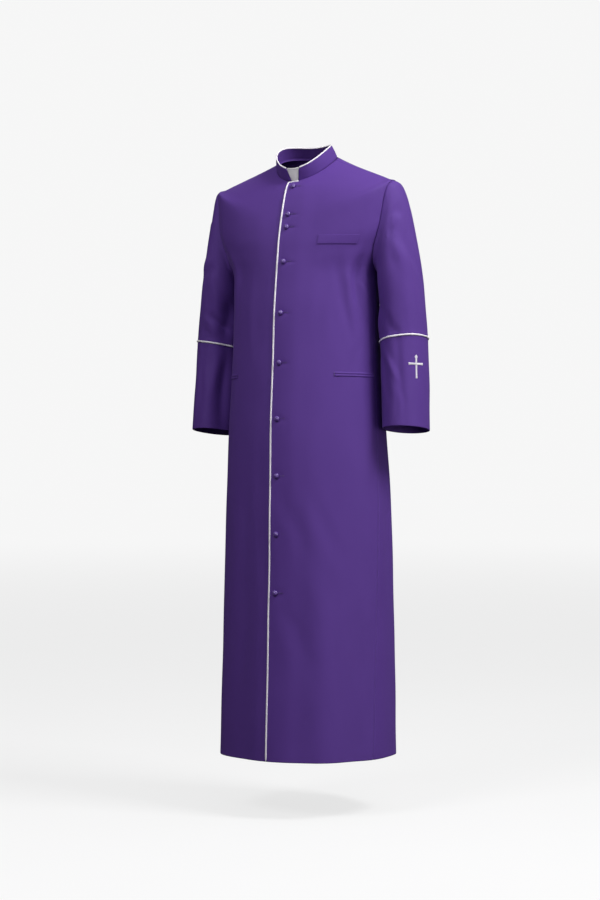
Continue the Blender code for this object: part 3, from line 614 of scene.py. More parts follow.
def panel_rows(front):
    """For each row of a panel: its ring inside, its ring at the outer edge, and its outer edge's angle."""
    yoke = dense_ends(YOKE_ROWS, 0.6) * SHOULDER_RING
    turn = np.linspace(0, 180, ARMHOLE_ROWS + 1)[1:]
    even = SHOULDER_RING + (UNDERARM_RING - SHOULDER_RING) * turn / 180
    seam_angle, seam_ring = armhole_at(turn if front else 360 - turn)
    skirt = UNDERARM_RING + (HEM_RING - UNDERARM_RING) * np.linspace(0, 1, SKIRT_ROWS + 1)[1:]
    skirt = np.append(skirt[:-1], [HEM_RING - above for above in HEM_EDGE_ROWS])
    level = table_values(BODY_RINGS, skirt)[0]
    underarm_z, hem_z = BODY_RINGS[UNDERARM_RING][0], BODY_RINGS[HEM_RING][0]
    share = (level - underarm_z) / (hem_z - underarm_z)
    inside = np.concatenate([yoke, even, skirt])
    outside = np.concatenate([yoke, seam_ring, skirt])
    side_seam = SIDE_SEAM_TOP + (SIDE_SEAM_HEM - SIDE_SEAM_TOP) * share
    edge = np.concatenate([np.full(len(yoke), SHOULDER_SEAM), seam_angle, side_seam])
    return inside[:, None], outside[:, None], edge[:, None]


def run_along(grid, axis):
    """Distance along each row (axis 1) or column (axis 0) of a grid of points, from its start."""
    steps = np.linalg.norm(np.diff(grid, axis=axis), axis=-1)
    run = np.cumsum(steps, axis=axis)
    start = np.zeros_like(np.take(run, [0], axis=axis))
    return np.concatenate([start, run], axis=axis)


def seam_relief(distance, along):
    """Height of the cloth near a seam: sunk at the stitches, raised over the turnings, a little puckered."""
    sunk = -SEAM_DEPTH * np.exp(-((distance / SEAM_HALF_WIDTH) ** 2))
    raised = TURNING_HEIGHT * np.exp(-(((distance - TURNING_AT) / TURNING_HALF_WIDTH) ** 2))
    ripple = sum(np.sin(2 * math.pi * along / length + 9 * length) for length in PUCKER_LENGTHS)
    return sunk + raised + PUCKER_HEIGHT / 3 * ripple * np.exp(-distance / PUCKER_REACH)


def from_last_row(grid):
    """Distance of each point from the grid's last row, along the cloth."""
    run = run_along(grid, 0)
    return run[-1:] - run


def hem_step(grid, depth):
    """Extra thickness inside where the cloth is turned up, to this depth above the last row."""
    return HEM_STEP * (1 - smooth_step((from_last_row(grid) - depth) / HEM_FADE))


def with_seams(grid, normals, seams):
    """The grid with the relief of its seams. seams names edges: top, bottom, start and end."""
    over, down = run_along(grid, 1), run_along(grid, 0)
    distances = {
        "top": (down, over),
        "bottom": (from_last_row(grid), over),
        "start": (over, down),
        "end": (over[:, -1:] - over, down),
    }
    relief = sum(seam_relief(*distances[edge]) for edge in seams)
    return grid + normals * relief[..., None]


def front_sheet(side):
    """Points and normals of a front: side 1 is the wearer's left, which laps over, and -1 the right."""
    inside, outside, edge = panel_rows(True)
    share = dense_ends(FRONT_COLUMNS)[None, :]
    start = angle_at(-OVERLAP if side > 0 else UNDERLAP, inside)
    angle = start + (side * edge - start) * share
    ring = inside + (outside - inside) * share**EDGE_PULL
    if side > 0:
        x = body_points(angle, ring, finer=False)[..., 0]
        drop = np.interp(x, TOP_DROP_X, TOP_DROP_RING)
        ring = ring + drop * np.maximum(0.0, 1 - ring / TOP_DROP_ENDS)
    grid = front_points(angle, ring, side)
    normals = normals_of(front_points, angle, ring, side=side)
    return with_seams(grid, normals, ["end"]), normals


def back_sheet():
    """Points and normals of the back, from the wearer's left side seam round to the right one."""
    inside, outside, edge = panel_rows(False)
    share = (dense_ends(BACK_COLUMNS) * 2 - 1)[None, :]
    angle = 180 + (180 - edge) * share
    ring = inside + (outside - inside) * np.abs(share) ** EDGE_PULL
    normals = normals_of(body_points, angle, ring)
    return with_seams(body_points(angle, ring), normals, ["start", "end"]), normals


def sleeve_oval(columns, shift, turn, swell):
    """Points on the ovals of the sleeve's rings, from the columns of their table."""
    outer_x, outer_z, inner_x, inner_z, centre_y, half_depth, front_rise = columns
    outer = np.stack([outer_x + shift, centre_y, outer_z], axis=-1)
    inner = np.stack([inner_x + shift, centre_y, inner_z], axis=-1)
    front = np.stack([np.zeros_like(half_depth), -half_depth, front_rise], axis=-1)
    spread = (outer - inner) / 2 * np.cos(turn)[..., None] + front * np.sin(turn)[..., None]
    return (outer + inner) / 2 + spread * swell


def sleeve_points(turn, ring, arm):
    """Points on the middle of a left sleeve's cloth: turn 0 is outside, 90 in front, 180 inside."""
    turn, ring = np.broadcast_arrays(np.asarray(turn, float), np.asarray(ring, float))
    columns = table_values(SLEEVE_RINGS, ring)
    level, a = columns[1], np.radians(turn)
    settled = smooth_step(ring / ARMHOLE_BLEND)
    out = fold_height(SLEEVE_FOLDS, turn, ring, SLEEVE_FOLD_RADIUS)
    out = out + settled * crease_height(SLEEVE_CREASES[arm], turn, level, SLEEVE_FOLD_RADIUS)
    out = out + settled * slow_waves(a * SLEEVE_FOLD_RADIUS, level, WAVE_SEEDS[arm])
    shift = np.interp(ring, ARM_RINGS, ARM_SHIFTS[arm])
    points = sleeve_oval(columns, shift, a, (1 + out / SLEEVE_FOLD_RADIUS)[..., None])

    top = sleeve_oval(table_values(SLEEVE_RINGS, np.zeros_like(ring)), 0.0, a, 1.0)
    seam = body_points(*armhole_at(turn % 360), finer=False)
    seam[..., 0] += ARMHOLE_GAP_UNDERARM * (1 - np.cos(a)) / 2
    return points + (seam - top) * (1 - settled)[..., None]


def sleeve_sheet(first, last, rows, arm, seams):
    """Points and normals of a length of sleeve on the wearer's left side, from its underarm seam round."""
    ring = (first + (last - first) * dense_ends(rows, 0.7))[:, None]
    turn = (SEAM_TURN - 360 * dense_ends(SLEEVE_COLUMNS, 0.7))[None, :]
    grid = sleeve_points(turn, ring, arm)
    normals = normals_of(sleeve_points, turn, ring, last=CUFF_RING, arm=arm)
    normals = facing_out(normals, grid, grid.mean(axis=1, keepdims=True))
    return with_seams(grid, normals, seams + ["start", "end"]), normals


def flip_if_inside_out(points, faces):
    """The faces, turned so that a closed mesh of four-sided faces has a positive volume."""
    a, b, c, d = (points[faces[:, k]] for k in range(4))
    volume = (a * np.cross(b, c)).sum() + (a * np.cross(c, d)).sum()
    return faces[:, ::-1] if volume < 0 else faces


def grid_faces(index):
    """Four-sided faces between the rows and columns of a grid of point numbers."""
    corners = [index[:-1, :-1], index[1:, :-1], index[1:, 1:], index[:-1, 1:]]
    return np.stack(corners, axis=-1).reshape(-1, 4)


def rounded_end(share, least):
    """Size of a rounded end: 1 where share is 1 or more, and the root of least at its tip."""
    return np.sqrt(np.clip(1 - (1 - np.clip(share, 0, 1)) ** 2, least, 1))


def mesh_piece(name, points, faces, finish, uv):
    """A named piece from arrays of points and faces. uv holds each point's place on the flat cloth."""
    mesh = bpy.data.meshes.new(name)
    mesh.from_pydata(np.asarray(points, float).tolist(), [], [list(map(int, face)) for face in faces])
    mesh.materials.append(finish)
    mesh.shade_smooth()
    mesh.set_sharp_from_angle(angle=math.radians(SHARP_ANGLE))
    corners = np.empty(len(mesh.loops), np.int32)
    mesh.loops.foreach_get("vertex_index", corners)
    layer = mesh.uv_layers.new(name="Cloth")
    layer.uv.foreach_set("vector", np.asarray(uv, np.float32)[corners].ravel())
    made = bpy.data.objects.new(name, mesh)
    bpy.context.scene.collection.objects.link(made)
    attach(made, "root")
    return made


def stands_for(piece, node):
    """The piece, in the place of a solid."""
    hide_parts(node)
    return piece


def shell(name, sheet, thickness, finish, inner_extra=0.0, places=None):
    """A thin shell on both sides of a sheet, with rounded edges. places are its points on the flat cloth."""
    grid, normals = sheet
    rows, columns = grid.shape[:2]
    half = (np.broadcast_to(thickness, (rows, columns)) / 2)[..., None]
    extra = np.broadcast_to(inner_extra, (rows, columns))[..., None]
    outer = (grid + normals * half).reshape(-1, 3)
    inner = (grid - normals * (half + extra)).reshape(-1, 3)
    index = np.arange(rows * columns).reshape(rows, columns)

    loop = np.concatenate([index[0, :-1], index[:-1, -1], index[-1, :0:-1], index[:0:-1, 0]])
    row, column = np.clip(loop // columns, 1, rows - 2), np.clip(loop % columns, 1, columns - 2)
    flat = grid.reshape(-1, 3)
    outward = unit(flat[loop] - flat[row * columns + column])
    rim = flat[loop] + outward * half.reshape(-1, 1)[loop]

    count = rows * columns
    following = np.roll(loop, -1)
    edge = np.arange(len(loop)) + 2 * count
    next_edge = np.roll(edge, -1)
    top = grid_faces(index)
    faces = [
        top,
        top[:, ::-1] + count,
        np.stack([loop, following, next_edge, edge], axis=-1),
        np.stack([edge, next_edge, following + count, loop + count], axis=-1),
    ]
    points = np.vstack([outer, inner, rim])
    measured = np.stack([run_along(grid, 1), run_along(grid, 0)], axis=-1).reshape(-1, 2)
    places = measured if places is None else places
    uv = np.vstack([places, places, measured[loop]])
    return mesh_piece(name, points, flip_if_inside_out(points, np.vstack(faces)), finish, uv)


def tube(name, path, up, size, finish, sides=CORD_SIDES, closed=False, bulge=1.0, mirror=1.0):
    """A cord of oval section along a path: size is its width and its height along up, swelled by bulge."""
    along = np.roll(path, -1, axis=0) - np.roll(path, 1, axis=0) if closed else np.gradient(path, axis=0)
    across = unit(np.cross(along, up)) * bulge * mirror
    up, path = up * bulge * mirror, path * mirror
    width, height = size
    a = 2 * math.pi * np.arange(sides) / sides
    run = run_along(path[:, None], 0)[:, 0]
    swell = 1 + sum(amount * np.sin(run * pace + phase) for amount, pace, phase in CORD_UNEVENNESS)
    if not closed:
        swell = swell * rounded_end(np.minimum(run, run[-1] - run) / (width / 2), 0.02)
    offsets = across[:, None] * np.cos(a)[None, :, None] * width / 2
    offsets = offsets + up[:, None] * np.sin(a)[None, :, None] * height / 2
    points = (path[:, None] + offsets * swell[:, None, None]).reshape(-1, 3)
    count = len(path)
    index = np.arange(count * sides).reshape(count, sides)
    if closed:
        index = np.vstack([index, index[:1]])
    index = np.hstack([index, index[:, :1]])
    faces = flip_if_inside_out(points, grid_faces(index.T)).tolist()
    if not closed:
        first, last = list(range(sides)), list(range((count - 1) * sides, count * sides))
        turned = faces[0][0] == 0 and faces[0][1] == 1
        faces += [first[::-1], last] if turned else [first, last[::-1]]
    uv = np.stack(np.broadcast_arrays(run[:, None], (a * width / 2)[None, :]), axis=-1).reshape(-1, 2)
    return mesh_piece(name, points, faces, finish, uv)


# Materials


class Nodes:
    """A tree of shading nodes under construction."""

    def __init__(self, tree):
        self.tree = tree

    def plug(self, socket, value):
        if isinstance(value, bpy.types.NodeSocket):
            self.tree.links.new(value, socket)
        else:
            socket.default_value = value

    def add(self, kind, inputs, **settings):
        """A new node with these settings, and a value or a link on each of these inputs."""
        made = self.tree.nodes.new(kind)
        for name, value in settings.items():
            setattr(made, name, value)
        for socket, value in inputs.items():
            self.plug(made.inputs[socket], value)
        return made

    def maths(self, operation, first, second=0.0, third=0.0):
        return self.add("ShaderNodeMath", {0: first, 1: second, 2: third}, operation=operation).outputs[0]

    def total(self, base, *terms):
        """base plus each term's value times its weight."""
        for value, weight in terms:
            base = self.maths("MULTIPLY_ADD", value, weight, base)
        return base


class Finish(Nodes):
    """A material under construction."""

    def __init__(self, name, roughness, specular):
        self.material = bpy.data.materials.new(name)
        self.material.use_nodes = True
        super().__init__(self.material.node_tree)
        self.shader = self.tree.nodes["Principled BSDF"]
        self.shade({"Roughness": roughness, "Specular IOR Level": specular})

    def shade(self, inputs):
        for name, value in inputs.items():
            self.plug(self.shader.inputs[name], value)

    def flat_place(self):
        """The place on the flat cloth in metres, and its two directions."""
        flat = self.add("ShaderNodeUVMap", {}, uv_map="Cloth").outputs["UV"]
        over, down, _ = self.add("ShaderNodeSeparateXYZ", {0: flat}).outputs
        return flat, over, down

    def own_place(self):
        """The place in the piece's own space."""
        return self.add("ShaderNodeTexCoord", {}).outputs["Object"]

    def noise(self, vector, scale, detail, rough):
        inputs = {"Vector": vector, "Scale": scale, "Detail": detail, "Roughness": rough}
        return self.add("ShaderNodeTexNoise", inputs).outputs[0]

    def wave(self, value, pitch):
        """A sine of this pitch, from -1 to 1."""
        return self.maths("SINE", self.maths("MULTIPLY", value, 2 * math.pi / pitch))

    def colour(self, share, tones):
        """Sets the colour: the dark tone where share is 0 and the light one where it is 1."""
        dark, light = [(*tone, 1.0) for tone in tones]
        mixed = self.add("ShaderNodeMix", {}, data_type="RGBA")
        for number, value in ((0, share), (6, dark), (7, light)):
            self.plug(mixed.inputs[number], value)
        self.shade({"Base Color": mixed.outputs[2]})

    def bump(self, height, distance, strength):
        inputs = {"Strength": strength, "Distance": distance, "Height": height}
        self.shade({"Normal": self.add("ShaderNodeBump", inputs).outputs[0]})

    def sheen(self, weight, roughness, tint):
        self.shade({"Sheen Weight": weight, "Sheen Roughness": roughness, "Sheen Tint": (*tint, 1.0)})


def suiting(name, smoothest, specular):
    """Smooth worsted twill: fine diagonal ribs of fine yarn, with a soft sheen."""
    finish = Finish(name, smoothest, specular)
    flat, over, down = finish.flat_place()
    rib = finish.wave(finish.maths("ADD", over, down), TWILL_PITCH)
    yarn = finish.maths("MULTIPLY", finish.wave(over, YARN_PITCH), finish.wave(down, YARN_PITCH))
    slub = finish.noise(flat, 900.0, 2.0, 0.6)
    mottle = finish.noise(finish.own_place(), 7.0, 3.0, 0.55)
    weave = finish.total(0.0, (rib, 0.5), (yarn, 0.25))
    finish.colour(finish.total(0.30, (weave, 0.16), (mottle, 0.22), (slub, 0.18)), TONES[name])
    finish.shade({"Roughness": finish.total(smoothest, (slub, 0.16))})
    finish.sheen(0.06, 0.5, PURPLE_SHEEN)
    finish.bump(finish.maths("ADD", weave, slub), WEAVE_RELIEF, 0.8)
    return finish.material


def braid(name, pitch):
    """White linen or covered cord: a fine weave set on the slant."""
    finish = Finish(name, 0.5, 0.35)
    flat, over, down = finish.flat_place()
    one = finish.wave(finish.maths("ADD", over, down), pitch)
    other = finish.wave(finish.maths("SUBTRACT", over, down), pitch)
    weave = finish.maths("MULTIPLY", one, other)
    fuzz = finish.noise(flat, 1400.0, 2.0, 0.6)
    finish.colour(finish.total(0.45, (weave, 0.30), (fuzz, 0.30)), TONES[name])
    finish.sheen(0.25, 0.4, LILAC_SHEEN)
    finish.bump(finish.maths("ADD", weave, fuzz), BRAID_RELIEF, 0.8)
    return finish.material


def thread(name, pitch):
    """Satin stitches, which lie side by side along the first direction of the flat place."""
    finish = Finish(name, 0.38, 0.5)
    flat, over, down = finish.flat_place()
    strand = finish.wave(over, pitch)
    twist = finish.wave(finish.total(over, (down, 0.35)), pitch * 0.4)
    fuzz = finish.noise(flat, 2200.0, 2.0, 0.6)
    finish.colour(finish.total(0.50, (strand, 0.35), (fuzz, 0.20)), TONES[name])
    finish.sheen(0.2, 0.3, WHITE[:3])
    finish.bump(finish.total(strand, (twist, 0.3)), WEAVE_RELIEF, 0.7)
    return finish.material


def plain_floor():
    """Pale matt studio floor, lit through from below so that shadows on it stay faint."""
    finish = Finish("studio_floor", 0.9, 0.0)
    place = finish.own_place()
    finish.colour(finish.noise(place, 3.0, 2.0, 0.5), TONES["studio_floor"])
    away = finish.add("ShaderNodeVectorMath", {0: place}, operation="LENGTH").outputs["Value"]
    spread = {"Value": away, "From Min": FLOOR_NEAR, "From Max": FLOOR_FAR}
    spread.update({"To Min": FLOOR_GLOW, "To Max": FLOOR_FAR_GLOW})
    glow = finish.add("ShaderNodeMapRange", spread, interpolation_type="SMOOTHSTEP").outputs["Result"]
    finish.shade({"Emission Color": WHITE, "Emission Strength": glow})
    return finish.material


# Pieces of cloth


def make_panels(finish):
    """The two fronts and the back."""
    sheets = {"front_left": front_sheet(1), "front_right": front_sheet(-1), "back": back_sheet()}
    made = {}
    for name, sheet in sheets.items():
        piece = shell(f"{name}_cloth", sheet, CLOTH, finish, hem_step(sheet[0], HEM_DEPTH))
        made[name] = (stands_for(piece, name), sheet[0])
    return made


def make_sleeve(arm, side, finish, trim):
    """A sleeve and its cuff, with the piping over the seam between."""
    mirror = np.array([side, 1.0, 1.0])
    spans = {
        "sleeve": (0, PIPING_RING, SLEEVE_ROWS, ["top", "bottom"]),
        "cuff": (PIPING_RING, CUFF_RING, CUFF_ROWS, ["top"]),
    }
    for kind, (first, last, rows, seams) in spans.items():
        grid, normals = sleeve_sheet(first, last, rows, arm, seams)
        hem = hem_step(grid, CUFF_HEM_DEPTH) if kind == "cuff" else 0.0
        piece = shell(f"{kind}_{arm}_cloth", (grid * mirror, normals * mirror), CLOTH, finish, hem)
        stands_for(piece, f"{kind}_{arm}")

    turn = np.arange(0, 360, 1.0)
    seam = sleeve_points(turn, np.full_like(turn, PIPING_RING), arm)
    up = normals_of(sleeve_points, turn, np.full_like(turn, PIPING_RING), last=CUFF_RING, arm=arm)
    up = facing_out(up, seam, seam.mean(axis=0))
    path = seam + up * (CLOTH / 2 + GAP + PIPING_HEIGHT / 2 - SEAM_DEPTH / 2)
    make_piping(f"piping_sleeve_{arm}", path, up, PIPING_SIZE, trim, closed=True, mirror=mirror)


def make_piping(node, path, up, size, trim, **given):
    """White cord over a seam."""
    return stands_for(tube(f"{node}_cord", path, up, size, trim, **given), node)


def make_front_piping(trim):
    """Piping down the free edge of the wearer's left front, turned at the neck along to the collar's end."""
    edge_x = -OVERLAP - PIPING_WIDTH / 2
    top, below, hem = PIPING_EDGE_RINGS
    upper, lower = PIPING_EDGE_STEPS
    rings = np.concatenate([np.linspace(top, below, upper), np.linspace(below, hem, lower)[1:]])
    smooth = smooth_through(np.array(PIPING_TURN))
    x = np.concatenate([smooth[:, 0], np.full(len(rings), edge_x)])
    ring = np.concatenate([smooth[:, 1], rings])
    angle = angle_at(x, ring)
    up = normals_of(body_points, angle, ring)
    path = body_points(angle, ring) + up * (CLOTH / 2 + GAP + PIPING_HEIGHT / 2)
    return make_piping("piping_front", path, up, PIPING_SIZE, trim)


def smooth_through(stations):
    """A smooth curve through a few points."""
    before = np.vstack([2 * stations[:1] - stations[1:2], stations[:-1]])
    after = np.vstack([stations[1:], 2 * stations[-1:] - stations[-2:-1]])
    slopes = (after - before) / 2
    t = (np.arange(PIPING_TURN_STEPS) / PIPING_TURN_STEPS)[:, None]
    spans = range(len(stations) - 1)
    curve = [between(t, stations[k], slopes[k], stations[k + 1], slopes[k + 1]) for k in spans]
    return np.vstack(curve + [stations[-1:]])


# Collar


def collar_points(angle, share, inset=0.0):
    """Points on the middle of the collar's cloth; share is 0 at the neck seam and 1 at the top edge."""
    angle, share = np.broadcast_arrays(np.asarray(angle, float), np.asarray(share, float))
    front_z, side_z, back_z, half_width, front_y, side_y, back_y = BODY_RINGS[0]
    turn = np.radians(angle)
    across, along = np.sin(turn), np.cos(turn)
    reach = np.where(along > 0, side_y - front_y, back_y - side_y)
    drawn_in = COLLAR_INSET + inset
    base_z = around(front_z, side_z, back_z, turn)
    base = np.stack([(half_width - drawn_in) * across, side_y - (reach - drawn_in) * along, base_z], axis=-1)
    radius = COLLAR_TOP_RADIUS - inset
    top_z = around(COLLAR_TOP_FRONT_Z, COLLAR_TOP_SIDE_Z, COLLAR_TOP_BACK_Z, turn)
    top = np.stack([radius * across, COLLAR_TOP_CENTRE_Y - radius * along, top_z], axis=-1)
    bow = COLLAR_BOW * np.sin(math.pi * np.clip(share, 0, 1))
    out = np.stack([across, -along, np.zeros_like(across)], axis=-1) * bow[..., None]
    return base + (top - base) * share[..., None] + out


def collar_end(share):
    """Angle of the collar's end from the centre front, which rounds away at its top corner."""
    gap = COLLAR_GAP_BOTTOM + (COLLAR_GAP_TOP - COLLAR_GAP_BOTTOM) * share
    corner = np.clip((share - COLLAR_CORNER_SHARE) / (1 - COLLAR_CORNER_SHARE), 0, 1)
    gap = gap + COLLAR_CORNER * (1 - np.sqrt(1 - 0.98 * corner**2))
    radius = BODY_RINGS[0][3] * (1 - share) + COLLAR_TOP_RADIUS * share
    return np.degrees(np.arcsin(gap / radius))


def grid_normals(grid, inside):
    """Normals of a grid of points by its neighbours, facing away from the point inside."""
    normals = unit(np.cross(np.gradient(grid, axis=0), np.gradient(grid, axis=1)))
    return facing_out(normals, grid, inside)


def make_collar(finish, trim):
    """The stand collar, with piping on its top edge."""
    share = dense_ends(COLLAR_ROWS, 0.75)[:, None]
    end = collar_end(share)
    grid = collar_points(end + (360 - 2 * end) * dense_ends(COLLAR_COLUMNS, 0.75)[None, :], share)
    normals = grid_normals(grid, COLLAR_MIDDLE)
    grid = with_seams(grid, normals, ["top"])
    collar = shell("collar_cloth", (grid, normals), COLLAR_CLOTH, finish)
    stands_for(collar, "collar")

    first = float(collar_end(np.array(1.0))) - COLLAR_PIPING_PAST_END
    angles = np.linspace(first, 360 - first, COLLAR_PIPING_STEPS)
    up = unit(collar_points(angles, 1.0) - collar_points(angles, 0.9))
    path = collar_points(angles, 1.0) + up * (COLLAR_PIPING_SIZE[1] / 2 + GAP / 2)
    make_piping("piping_collar", path, up, COLLAR_PIPING_SIZE, trim)
    return collar


def make_tab(finish, collar):
    """The white tab that shows between the collar's ends, with a rolled top edge."""
    angle = np.linspace(TAB_ANGLES[0], TAB_ANGLES[-1], TAB_COLUMNS + 1)[None, :]
    top = np.interp(angle, TAB_ANGLES, TAB_TOPS)
    share = TAB_BOTTOM_SHARE + (top - TAB_BOTTOM_SHARE) * dense_ends(TAB_ROWS, 0.7)[:, None]
    grid = collar_points(angle, share, TAB_INSET)
    roll = 1 + TAB_ROLL * np.exp(-((from_last_row(grid) - TAB_ROLL_AT) / TAB_ROLL_HALF_WIDTH) ** 2)
    tab = shell("collar_tab_cloth", (grid, grid_normals(grid, COLLAR_MIDDLE)), TAB_CLOTH * roll, finish)
    stands_for(tab, "collar_tab")


# Buttons and buttonholes


def front_place(x, z):
    """Point and normal of the left front's cloth at this x and height."""
    ring = ring_at(0.0, np.asarray(z, float))
    for _ in range(3):
        angle = angle_at(x, ring)
        ring = ring_at(angle, z)
    angle = angle_at(x, ring)
    return front_points(angle, ring, 1), normals_of(front_points, angle, ring, side=1)


def button_form():
    """Points and faces of a round covered button on its flat back, gathered at its edge."""
    swing = np.radians(np.linspace(-BUTTON_TUCK, 90, BUTTON_RINGS))
    turn = 2 * math.pi * np.arange(BUTTON_SIDES) / BUTTON_SIDES
    low = np.clip((BUTTON_GATHERS_TOP - np.degrees(swing[:-1])) / BUTTON_GATHERS_FADE, 0, 1)[:, None]
    gathered = 1 + BUTTON_GATHER_DEPTH * np.cos(BUTTON_GATHERS * turn)[None, :] * low
    reach = np.cos(swing)[:-1, None] * BUTTON_RADIUS * gathered
    height = (np.sin(swing) + math.sin(math.radians(BUTTON_TUCK))) * BUTTON_DOME * BUTTON_RADIUS
    z = np.broadcast_to(height[:-1, None], reach.shape)
    points = np.stack([reach * np.cos(turn), reach * np.sin(turn), z], axis=-1).reshape(-1, 3)
    points = np.vstack([points, [[0.0, 0.0, height[-1]]]])
    index = np.arange((BUTTON_RINGS - 1) * BUTTON_SIDES).reshape(-1, BUTTON_SIDES)
    index = np.hstack([index, index[:, :1]])
    faces = grid_faces(index.T).tolist()
    faces += [[here, after, len(points) - 1] for here, after in zip(index[-1, :-1], index[-1, 1:])]
    faces.append(index[0, -2::-1])
    return points, faces


def make_buttons(finish):
    """Round cloth-covered buttons, each at the near end of its buttonhole."""
    points, faces = button_form()
    places, ups = front_place(np.full(len(BUTTON_HEIGHTS), BUTTON_X), np.array(BUTTON_HEIGHTS))
    for number, (place, up) in enumerate(zip(places, ups), 1):
        side = unit(np.cross([0.0, 0.0, 1.0], up))
        top = np.cross(up, side)
        spun = math.radians(BUTTON_SPIN * number)
        first = side * math.cos(spun) + top * math.sin(spun)
        second = top * math.cos(spun) - side * math.sin(spun)
        placed = points @ np.stack([first, second, up]) + place + up * (CLOTH / 2 + GAP / 2)
        name = f"button_{number:02d}"
        stands_for(mesh_piece(f"{name}_covered", placed, faces, finish, points[:, :2]), name)


def make_buttonholes(finish):
    """Stitched buttonholes: a corded oval round each slit."""
    straight = HOLE_END - HOLE_START - 2 * HOLE_HALF_HEIGHT
    rim = 2 * straight + 2 * math.pi * HOLE_HALF_HEIGHT
    stitches = int(rim / HOLE_STITCH)
    steps = stitches * HOLE_STITCH_STEPS
    run = np.arange(steps) * rim / steps
    x, z = oval(run, straight, HOLE_HALF_HEIGHT)
    bulge = (1 + HOLE_STITCH_BULGE * np.cos(2 * math.pi * stitches * run / rim))[:, None]
    made = []
    for number, height in enumerate(BUTTON_HEIGHTS, 1):
        places, ups = front_place(BUTTON_X + HOLE_START + HOLE_HALF_HEIGHT + x, height + z)
        path = places + ups * (CLOTH / 2 + HOLE_CORD_LIFT)
        name = f"buttonhole_{number:02d}"
        made.append(tube(name, path, ups, HOLE_CORD_SIZE, finish, STITCH_SIDES, True, bulge))
    return made


def oval(run, straight, radius):
    """Places round a long oval with straight sides, by the distance run round it."""
    half = straight + math.pi * radius
    far, near_side = run % half, run % (2 * half) < half
    arc = np.maximum(far - straight, 0.0) / radius
    x = np.minimum(far, straight) + radius * np.sin(arc)
    z = radius * np.cos(arc)
    return np.where(near_side, x, straight - x), np.where(near_side, z, -z)


# Pockets


def strip_on_front(name, side, angles, heights, lift, thickness, finish):
    """A strip of cloth that lies on a front. lift and thickness vary over its rows and columns."""
    angle, z = np.meshgrid(angles, heights)
    ring = ring_at(side * angle, z)
    grid = front_points(side * angle, ring, side)
    normals = normals_of(front_points, side * angle, ring, side=side)
    grid = grid + normals * np.broadcast_to(lift, angle.shape)[..., None]
    return stands_for(shell(f"{name}_cloth", (grid, normals), thickness, finish), name), grid


def make_hip_pocket(side, finish, thread_finish):
    """Two rolled lips of a jetted pocket, with a bar of stitches at each end."""
    arm = "left" if side > 0 else "right"
    share = dense_ends(HIP_LIP_COLUMNS, 0.8)
    angles = HIP_POCKET_START + (HIP_POCKET_END - HIP_POCKET_START) * share
    across = dense_ends(HIP_LIP_ROWS, 0.6)
    roll = np.sqrt(np.clip(1 - (2 * across - 1) ** 2, 0.05, 1))[:, None]
    ends = np.clip(np.minimum(share, 1 - share) / HIP_LIP_END, HIP_LIP_END_LEAST, 1)[None, :]
    thickness = WELT_CLOTH * (HIP_LIP_EDGE + HIP_LIP_ROLL * roll) * ends
    uneven = HIP_LIP_UNEVENNESS * np.sin(share * HIP_LIP_UNEVEN_PACE + side)[None, :] * ends
    made = []
    for place, top in (("upper", HIP_POCKET_Z + GAP + HIP_LIP_HEIGHT), ("lower", HIP_POCKET_Z - GAP)):
        heights = top - HIP_LIP_HEIGHT * across
        lift = CLOTH / 2 + GAP / 2 + thickness / 2 + uneven
        name = f"pocket_{arm}_lip_{place}"
        made.append(strip_on_front(name, side, angles, heights, lift, thickness, finish)[0])
    for number, end in enumerate((HIP_POCKET_START, HIP_POCKET_END), 1):
        made.append(bar_tack(f"pocket_{arm}_tack_{number}", side, end, thread_finish))
    return made


def bar_tack(name, side, angle, finish):
    """A short bar of stitches across the end of a hip pocket."""
    steps = TACK_STITCHES * TACK_STITCH_STEPS
    heights = HIP_POCKET_Z + TACK_REACH * np.linspace(-1, 1, steps)
    spot = np.full(heights.shape, side * angle)
    ring = ring_at(spot, heights)
    up = normals_of(front_points, spot, ring, side=side)
    path = front_points(spot, ring, side) + up * (CLOTH / 2 + TACK_LIFT)
    bulge = (1 + TACK_BULGE * np.cos(2 * math.pi * np.arange(steps) / TACK_STITCH_STEPS))[:, None]
    piece = tube(name, path, up, TACK_SIZE, finish, STITCH_SIDES, bulge=bulge)
    return piece


def make_breast_welt(finish):
    """The welt of the breast pocket, sewn down at its ends and along its lower edge."""
    across = dense_ends(BREAST_WELT_ROWS, 0.8)
    heights = BREAST_WELT_TOP_Z + (BREAST_WELT_BOTTOM_Z - BREAST_WELT_TOP_Z) * across
    share = dense_ends(BREAST_WELT_COLUMNS, 0.85)
    half_width = BODY_RINGS[BREAST_WELT_RING][3]
    low, high = (math.degrees(math.asin(x / half_width)) for x in (BREAST_WELT_START_X, BREAST_WELT_END_X))
    lower_edge = np.exp(-((1 - across) * BREAST_WELT_EDGE_PACE) ** 2)[:, None]
    ends = np.exp(-(np.minimum(share, 1 - share) * BREAST_WELT_END_PACE) ** 2)[None, :]
    sewn = np.maximum(lower_edge, ends)
    lift = CLOTH / 2 + GAP + WELT_CLOTH / 2 - BREAST_WELT_SUNK * sewn
    thickness = WELT_CLOTH * (1 - BREAST_WELT_FLATTENED * sewn)
    angles = low + (high - low) * share
    piece, grid = strip_on_front("breast_pocket_welt", 1, angles, heights, lift, thickness, finish)


# Cross


